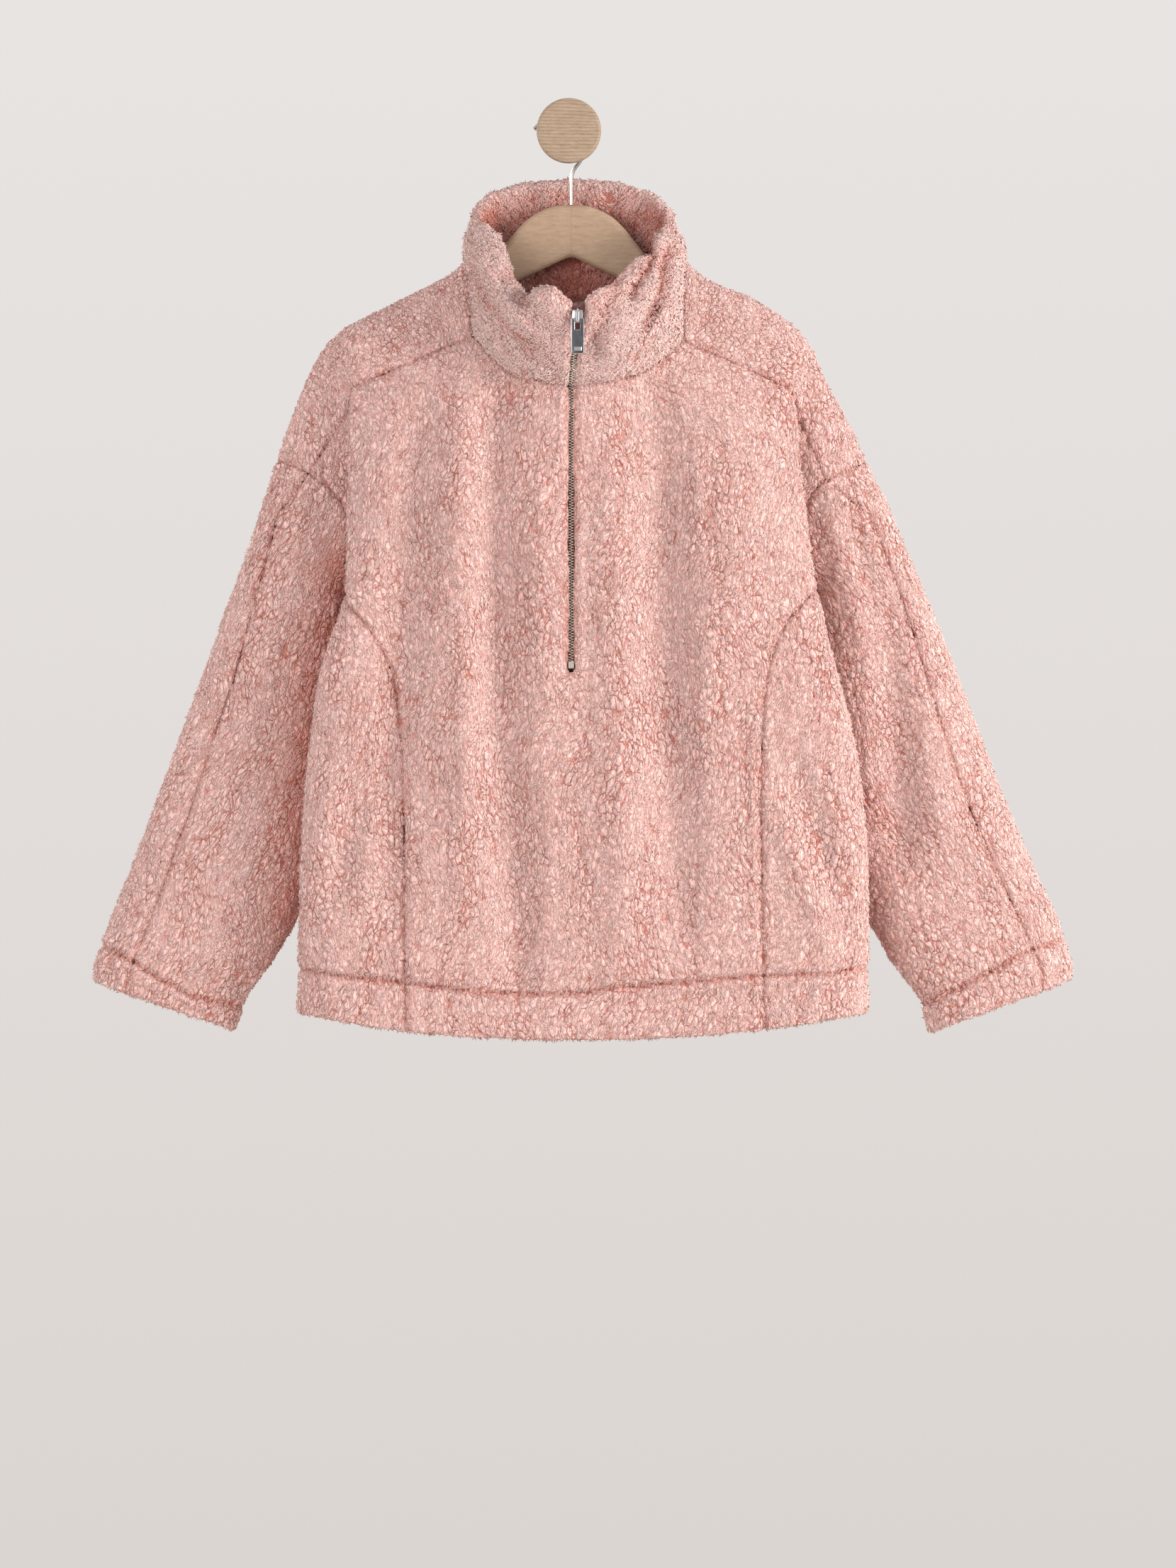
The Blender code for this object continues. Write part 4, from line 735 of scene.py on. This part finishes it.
def shape_panel(panel, points, normals, out):
    """Move a panel's points to its seams, stitches and folds, and give the painted shade that the shader adds
    to each.
    out is true on the fleece side."""
    seam, toward = seams_of(panel, points, normals)
    stitched = stitches_of(panel, points)
    groove = bell(seam, GROOVE_WIDE)
    tuck = bell(stitched, STITCH_WIDE)
    puff = bell(np.minimum(seam, stitched) - PUFF_AWAY, PUFF_WIDE)
    meet = MEET * toward * (seam < MEET_WITHIN)
    rise = GROW + meet - STITCH_DEEP * tuck * out + PUFF_HIGH * puff * out \
        - GROOVE_DEEP * groove * (1 - toward) * out
    points += normals * rise[:, None]
    # painted shade in the seam grooves and along the hem and cuff stitches
    painted_shade_level = np.maximum(SEAM_SHADE * groove, TUCK_SHADE * tuck)
    if panel == "collar":
        push, sag, creased, inside = shape_collar(points, normals)
        points += normals * push[:, None]
        points[:, 2] -= sag
        # painted shade at the collar's seam, in its creases and deep inside the neck, and a paler collar
        return COLLAR_SEAM_SHADE * groove + CREASE_SHADE * creased + INSIDE_SHADE * inside + COLLAR_LOW
    facing_front = np.full(len(points), "back" not in panel)
    if panel.startswith("side"):
        facing_front = points[:, 1] < -0.05
    points[:, 1] += np.where(facing_front, -1.0, 1.0) * fold_cloth(points, facing_front)
    if panel.startswith("sleeve"):
        # painted shade on a sleeve where it lies beside the body, more at the side away from the window
        painted_shade_level = painted_shade_level + BESIDE_BODY_SHADE[panel.split("_")[-1]] * near_body(panel, points)
    return painted_shade_level


# %% Make one panel
FINE = 2.55 * MM
KEEP_INSIDE = 0.12
FACING_FOOT, FACING_CURVE = -0.154, 4.5
FACING_SHADE = 0.45


def add_group(piece, name, chosen):
    """Mark the chosen points of a piece as a vertex group."""
    piece.vertex_groups.new(name=name).add(np.flatnonzero(chosen).tolist(), 1.0, "REPLACE")


def triangles(mesh):
    """How many triangles a mesh has."""
    return sum(len(face.vertices) - 2 for face in mesh.polygons)


def make_panel(panel):
    """Turn one solid into its fleece panel, and give back the panel and its locks."""
    piece = merged_copy(panel, panel + "_fleece", 0.02 * MM)
    solid = piece.data.copy()
    outer_way = [way for way in ("front", "back", "side") if way in panel]
    knit = knit_faces(solid, outer_way[0]) if outer_way else set()
    solid_tree = tree_of(solid)

    def on_fleece(points):
        found = np.array([solid_tree.find_nearest(p)[2] not in knit for p in points])
        # a half-moon facing of the same pile lines the back of the neck, down to its own seam
        foot = FACING_FOOT + FACING_CURVE * (points[:, 0] - NECK_X) ** 2
        lined = ~found & (points[:, 2] > foot) & (panel == "back")
        return found | lined, lined

    apply_modifier(piece, "REMESH", mode="VOXEL", voxel_size=FINE)
    out, _ = on_fleece(points_of(piece.data))
    add_group(piece, "knit_side", ~out)
    share = float(out.mean())
    if share < 0.95:
        apply_modifier(piece, "DECIMATE", ratio=share + (1 - share) * KEEP_INSIDE, vertex_group="knit_side")
    apply_modifier(piece, "SMOOTH", factor=0.5, iterations=3)
    mesh = piece.data
    points, normals = points_of(mesh), points_of(mesh, "normal")
    out, lined = on_fleece(points)
    add_group(piece, "fleece_side", out)
    # the pile facing deep in the back of the neck gets painted shade
    painted_shade_level = np.where(lined, FACING_SHADE, shape_panel(panel, points, normals, out))
    set_points(mesh, points)
    set_paint(piece, fleece, knit_back)
    for face in mesh.polygons:
        face.material_index = 0 if out[list(face.vertices)].any() else 1
    rest, way, rounded = comb_of(panel, points)
    for name, values in (("pit", painted_shade_level), ("rounded", rounded), ("rest", rest), ("combed", way)):
        add_attribute(mesh, name, values)
    apply_modifier(piece, "NODES", node_group=pile_relief)
    bpy.ops.object.shade_smooth()
    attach(piece, "pullover")
    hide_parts(panel)

    locks = add_object(panel + "_pile", mesh.copy())
    for group in piece.vertex_groups:
        locks.vertex_groups.new(name=group.name)
    apply_modifier(locks, "NODES", node_group=collar_locks if panel == "collar" else pile_locks)
    set_paint(locks, fleece)
    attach(locks, "pullover")
    print(panel, "triangles", triangles(mesh), "and in locks", triangles(locks.data),
          "cloth m2", round(sum(f.area for f in solid.polygons) / 2, 4))
    return piece, locks


# %% Make the panels
panels = {panel: make_panel(panel) for panel in PANELS}
bpy.data.objects.remove(lock)

# %% [markdown]
# Each panel is a sheet of cloth, cut flat before it is sewn.
# The panels aren't rectangles; the area of cloth in each is printed when it is made.

# %% [markdown]
# ## Beech
# Beech is a pale, close-grained hardwood. The hanger is sawn along the grain, so its face shows long faint
# streaks and short darker flecks. On the peg's disc the growth rings are fine, nearly level lines.

# %% Beech material
def beech_material(name, pale, dark, along, ring, ring_share, joint=None):
    """Sanded, lacquered beech. along scales the place so that the grain runs with the piece."""
    paint, add, shader, place = new_material(name)
    grain = add("Mapping", {"Vector": place, "Scale": (along, 1.0, 1.0)})
    bend = add("TexNoise", {"Vector": grain, "Scale": 22.0})
    level = add("SeparateXYZ", {"Vector": place}).outputs["Z"]
    waved = add("Math", (bend, 0.011, level), operation="MULTIPLY_ADD")
    turns = add("Math", (waved, 2 * math.pi / ring), operation="MULTIPLY")
    wave = add("Math", (turns,), operation="SINE")
    line = add("MapRange", {"Value": wave, "From Min": 0.1})
    streak = add("TexNoise", {"Vector": grain, "Scale": 380.0, "Detail": 4.0, "Roughness": 0.65})
    fleck = add("TexNoise", {"Vector": grain, "Scale": 1100.0, "Detail": 1.0})
    spots = add("MapRange", {"Value": fleck, "From Min": 0.62, "From Max": 0.72, "To Max": 0.35})
    soft = add("MapRange", {"Value": streak, "From Min": 0.3, "From Max": 0.7, "To Max": 0.5})
    lined = add("Math", (line, ring_share, soft), operation="MULTIPLY_ADD")
    fac = add("Math", (lined, spots), operation="ADD")
    if joint is not None:
        # the hanger's two arms are glued at the middle, which shows as one faint upright line
        across = add("SeparateXYZ", {"Vector": place}).outputs["X"]
        off = add("Math", (across, joint), operation="SUBTRACT")
        size = add("Math", (off,), operation="ABSOLUTE")
        seam = add("MapRange", {"Value": size, "From Min": 0.1 * MM, "From Max": 0.9 * MM,
                                "To Min": 0.2, "To Max": 0.0})
        fac = add("Math", (fac, seam), operation="ADD")
    ramp = set_stops(add("ValToRGB", {"Fac": fac}), (0.0, pale), (1.0, dark))
    bump = add("Bump", {"Height": fac, "Strength": 0.25, "Distance": 0.25 * MM}, invert=True)
    set_inputs(shader, {"Base Color": ramp, "Normal": bump, "Roughness": 0.48, "Specular IOR Level": 0.4})
    return paint


def repaint(paint, *names):
    """Give solids that show as they are their finish."""
    for name in names:
        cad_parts[name].material_slots[0].material = paint


disc_beech = beech_material("ringed_beech", "#A4937F", "#826750", 0.25, 3.1 * MM, 0.42)
hanger_beech = beech_material("flat_sawn_beech", "#AC957E", "#8C7057", 0.22, 9.0 * MM, 0.10, joint=2.2 * MM)
repaint(disc_beech, "peg_disc", "peg_post")
repaint(hanger_beech, "hanger")
print("two cuts of beech")

# %% [markdown]
# ## Metals
# The hook is bright drawn steel wire. The zip is brass plated with antique silver: its teeth are bright on
# their worn tops and nearly black between, and its pull tab is polished flat.

# %% Metal materials
def metal_material(name, bright, dull, rough, grit, worn):
    """Plated metal with fine wear: dull in patches of the size grit, and rougher there."""
    paint, add, shader, place = new_material(name)
    patch = add("TexNoise", {"Vector": place, "Scale": 1 / grit, "Detail": 4.0, "Roughness": 0.6})
    fac = add("MapRange", {"Value": patch, "From Min": 0.35, "From Max": 0.75, "To Max": worn})
    mix = add("Mix", {"Factor": fac, 6: colour(bright), 7: colour(dull)}, data_type="RGBA")
    rougher = add("MapRange", {"Value": patch, "To Min": rough, "To Max": rough + 0.2})
    bump = add("Bump", {"Height": patch, "Strength": 0.2, "Distance": 0.05 * MM})
    set_inputs(shader, {"Base Color": mix.outputs[2], "Roughness": rougher, "Normal": bump, "Metallic": 1.0})
    return paint


wire_steel = metal_material("bright_drawn_steel", "#B4B1AD", "#7C7975", 0.2, 4 * MM, 0.6)
antique_silver = metal_material("antique_silver_plate", "#E6DFD4", "#8F8272", 0.28, 1.2 * MM, 0.9)
polished_silver = metal_material("polished_silver_plate", "#C6C6C8", "#8B8B90", 0.14, 5 * MM, 0.5)
painted_reflection_plate = metal_material("polished_plate_painted_dark_reflection", "#77797F", "#4E5057", 0.16, 6 * MM, 0.6)
repaint(wire_steel, "hook")
repaint(antique_silver, "zip_stop")
print("four metals")

# %% [markdown]
# ## Zip
# Each edge of a metal zip has a row of teeth. A tooth is a small bar with a rounded head, and the heads of
# the two rows lie between each other. One tooth is modelled and copied along the zip's own path.

# %% Path of the zip
def zip_rings():
    """The middle of the chain's front face at each of its cross-sections, from the top down."""
    rings = {}
    for point in points_of(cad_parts["zip_chain"].data):
        rings.setdefault(round(point[2] / (0.2 * MM)), []).append(point)
    rows = [np.array(r) for _, r in sorted(rings.items(), reverse=True)]
    return np.array([[r[:, 0].mean(), r[:, 1].min(), r[:, 2].mean()] for r in rows])


zip_path = zip_rings()
zip_run = np.concatenate([[0], np.cumsum(np.linalg.norm(np.diff(zip_path, axis=0), axis=1))])


def on_zip(distance):
    """The place and the downward direction at a distance from the zip's top."""
    back, place, ahead = [np.array([np.interp(distance + step, zip_run, zip_path[:, k]) for k in range(3)])
                          for step in (-4 * MM, 0, 4 * MM)]
    return Vector(place), Vector(ahead - back).normalized()


print("zip runs", round(zip_run[-1] / MM, 1), "mm through", len(zip_path), "places")

# %% One tooth and its copies
TOOTH, TOOTH_X, TOOTH_SUNK = (2.7, 1.9, 1.0), -0.85, 0.9
TOOTH_PITCH, FIRST_TOOTH, NOT_TOOTHED = 2.5, 8.0, 6.0
EDGE_ANGLE = math.radians(35)


def add_block(size, place=(0, 0, 0)):
    """Add a cube of a size in mm, with nothing else selected."""
    bpy.ops.object.select_all(action="DESELECT")
    bpy.ops.mesh.primitive_cube_add(size=1.0, location=[v * MM for v in place])
    block = bpy.context.active_object
    block.scale = [v * MM for v in size]
    bpy.ops.object.transform_apply()
    return block


def finished(name, paint, body, angle=None):
    """Name the active object, lay its place into its mesh, and give it its finish and its body.
    angle is the sharpest edge that is still shaded smooth."""
    piece = bpy.context.active_object
    piece.name = name
    bpy.ops.object.transform_apply()
    set_paint(piece, paint)
    if angle is not None:
        bpy.ops.object.shade_smooth_by_angle(angle=angle)
    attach(piece, body)
    return piece


tooth = add_block(TOOTH, (TOOTH_X, 0, 0))
# the head is narrowed towards the middle of the zip, then every edge is rounded
select_in(tooth, "FACE", lambda face: face.normal.x > 0.9)
bpy.ops.transform.resize(value=(1, 0.7, 0.8))
bpy.ops.object.mode_set(mode="OBJECT")
apply_modifier(tooth, "BEVEL", width=0.28 * MM, limit_method="NONE")
teeth = []
for k in range(int((zip_run[-1] / MM - NOT_TOOTHED) / (TOOTH_PITCH / 2))):
    place, down = on_zip(FIRST_TOOTH * MM + k * TOOTH_PITCH / 2 * MM)
    # the head points inwards, and the two rows take turns
    inward = Vector((0, 1, 0)).cross(down).normalized() * (1 if k % 2 else -1)
    turn = Matrix((inward, down.cross(inward), down)).transposed()
    copy = add_object("tooth", tooth.data.copy())
    copy.matrix_world = Matrix.Translation(place + Vector((0, TOOTH_SUNK * MM, 0))) @ turn.to_4x4()
    teeth.append(copy)
take(teeth[0])
for copy in teeth:
    copy.select_set(True)
bpy.ops.object.join()
bpy.data.objects.remove(tooth)
zip_teeth = finished("zip_teeth", antique_silver, "pullover", EDGE_ANGLE)
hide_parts("zip_chain")
print(len(teeth), "teeth in two rows,", len(zip_teeth.data.polygons), "faces")

# %% [markdown]
# The pull tab keeps the shape of its solid: a flat plate with a slot at the top.
# Its edges are rounded a little, because a cast edge catches the light, and a small plain panel is raised
# near its lower end. Its flat front gets a darker copy of the plate, a painted reflection of a dark room; its
# rounded edge keeps the plain polished plate.

# %% Pull tab
TAB_PANEL = (6.6, 0.6, 3.4)
pull_tab = merged_copy("pull_tab", "pull_tab_plate", 0.01 * MM, flatten=True)
apply_modifier(pull_tab, "BEVEL", width=0.55 * MM, segments=2)
finished("pull_tab_plate", polished_silver, "pull_tab", EDGE_ANGLE)
pull_tab.data.materials.append(painted_reflection_plate)
# the flat front takes the darker plate: a painted reflection
for face in pull_tab.data.polygons:
    face.material_index = 1 if face.normal.y < -0.97 else 0
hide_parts("pull_tab")
tab_lo, tab_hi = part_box("pull_tab")
tab_x = (tab_lo[0] + tab_hi[0]) / 2 / MM
panel_block = add_block(TAB_PANEL, (tab_x + 0.4, tab_lo[1] / MM + 0.05, tab_lo[2] / MM + 4.4))
select_in(panel_block, "FACE", lambda face: face.normal.y < -0.9)
bpy.ops.mesh.inset(thickness=0.45 * MM, depth=-0.12 * MM)
bpy.ops.object.mode_set(mode="OBJECT")
apply_modifier(panel_block, "BEVEL", width=0.1 * MM)
finished("pull_tab_panel", polished_silver, "pull_tab")
print("pull tab:", len(pull_tab.data.polygons), "faces and a raised panel")

# %% [markdown]
# The slider is a cast body with a crown: a small knob at its top, from which the tab hangs.

# %% Slider
KNOB, KNOB_Y = (2.0, 2.2, 2.6), -119.0
slider_body = merged_copy("slider", "slider_body", 0.01 * MM, flatten=True)
apply_modifier(slider_body, "BEVEL", width=0.35 * MM, segments=2)
finished("slider_body", polished_silver, "pullover", EDGE_ANGLE)
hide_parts("slider")
slide_lo, slide_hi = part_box("slider")
knob = add_block(KNOB, ((slide_lo[0] + slide_hi[0]) / 2 / MM, KNOB_Y, slide_hi[2] / MM + 0.4))
select_in(knob, "FACE", lambda face: face.normal.z > 0.9)
bpy.ops.transform.resize(value=(0.6, 0.6, 1))
bpy.ops.object.mode_set(mode="OBJECT")
apply_modifier(knob, "BEVEL", width=0.5 * MM, segments=2, limit_method="NONE")
finished("slider_knob", polished_silver, "pullover", math.radians(60))
print("slider:", len(slider_body.data.polygons), "faces, knob:", len(knob.data.polygons))

# %% [markdown]
# Under each arm the seams of the front, the back, the side panel and both sleeve pieces meet. Their trimmed
# seam allowances make a small soft pad there on the inside, which closes the corner. It is one rounded block
# that lies along the underarm, just behind the cloth.

# %% Seam allowances under the arms
PAD, PAD_Y, PAD_Z = (13, 58, 30), -41, -391


def underarm_pad(name, seam_x, turn_in):
    """A pad of seam allowance along one underarm. seam_x is where it meets the front, in mm."""
    pad = add_block(PAD, (seam_x + turn_in * 7, PAD_Y, PAD_Z))
    apply_modifier(pad, "BEVEL", width=5 * MM, segments=3, limit_method="NONE")
    # the underarm runs inwards towards the back, and so does the pad
    points = points_of(pad.data)
    points[:, 0] += turn_in * np.clip((points[:, 1] + 0.045) / 0.03, 0, 1) * 9 * MM
    set_points(pad.data, points)
    add_attribute(pad.data, "rest", points)
    finished(name, fleece, "pullover")


underarm_pad("underarm_allowance_left", -198.5, 1)
underarm_pad("underarm_allowance_right", 217.5, -1)
print("two underarm allowances")

# %% [markdown]
# Woven polyester tape carries the teeth. Its cross threads are drawn 1.2 mm apart, so that they show.

# %% Zip tape
TAPE_BANDS = 800 / 3  # a wave texture's bands lie 0.314 / scale apart


def tape_material(name, dark, light):
    """Woven polyester tape, rose brown, with fine cross threads."""
    paint, add, shader, place = new_material(name)
    threads = add("TexWave", {"Vector": place, "Scale": TAPE_BANDS, "Distortion": 1.0, "Detail": 1.0},
                  bands_direction="Z").outputs["Fac"]
    patch = add("TexNoise", {"Vector": place, "Scale": 500.0})
    fac = add("Math", (threads, patch), operation="MULTIPLY")
    ramp = set_stops(add("ValToRGB", {"Fac": fac}), (0.0, dark), (1.0, light))
    bump = add("Bump", {"Height": fac, "Strength": 0.6, "Distance": 0.3 * MM})
    set_inputs(shader, {"Base Color": ramp, "Normal": bump, "Roughness": 0.85})
    return paint


repaint(tape_material("woven_zip_tape", "#7E5049", "#BC8177"), "zip_tape_left", "zip_tape_right")
print("two zip tapes")
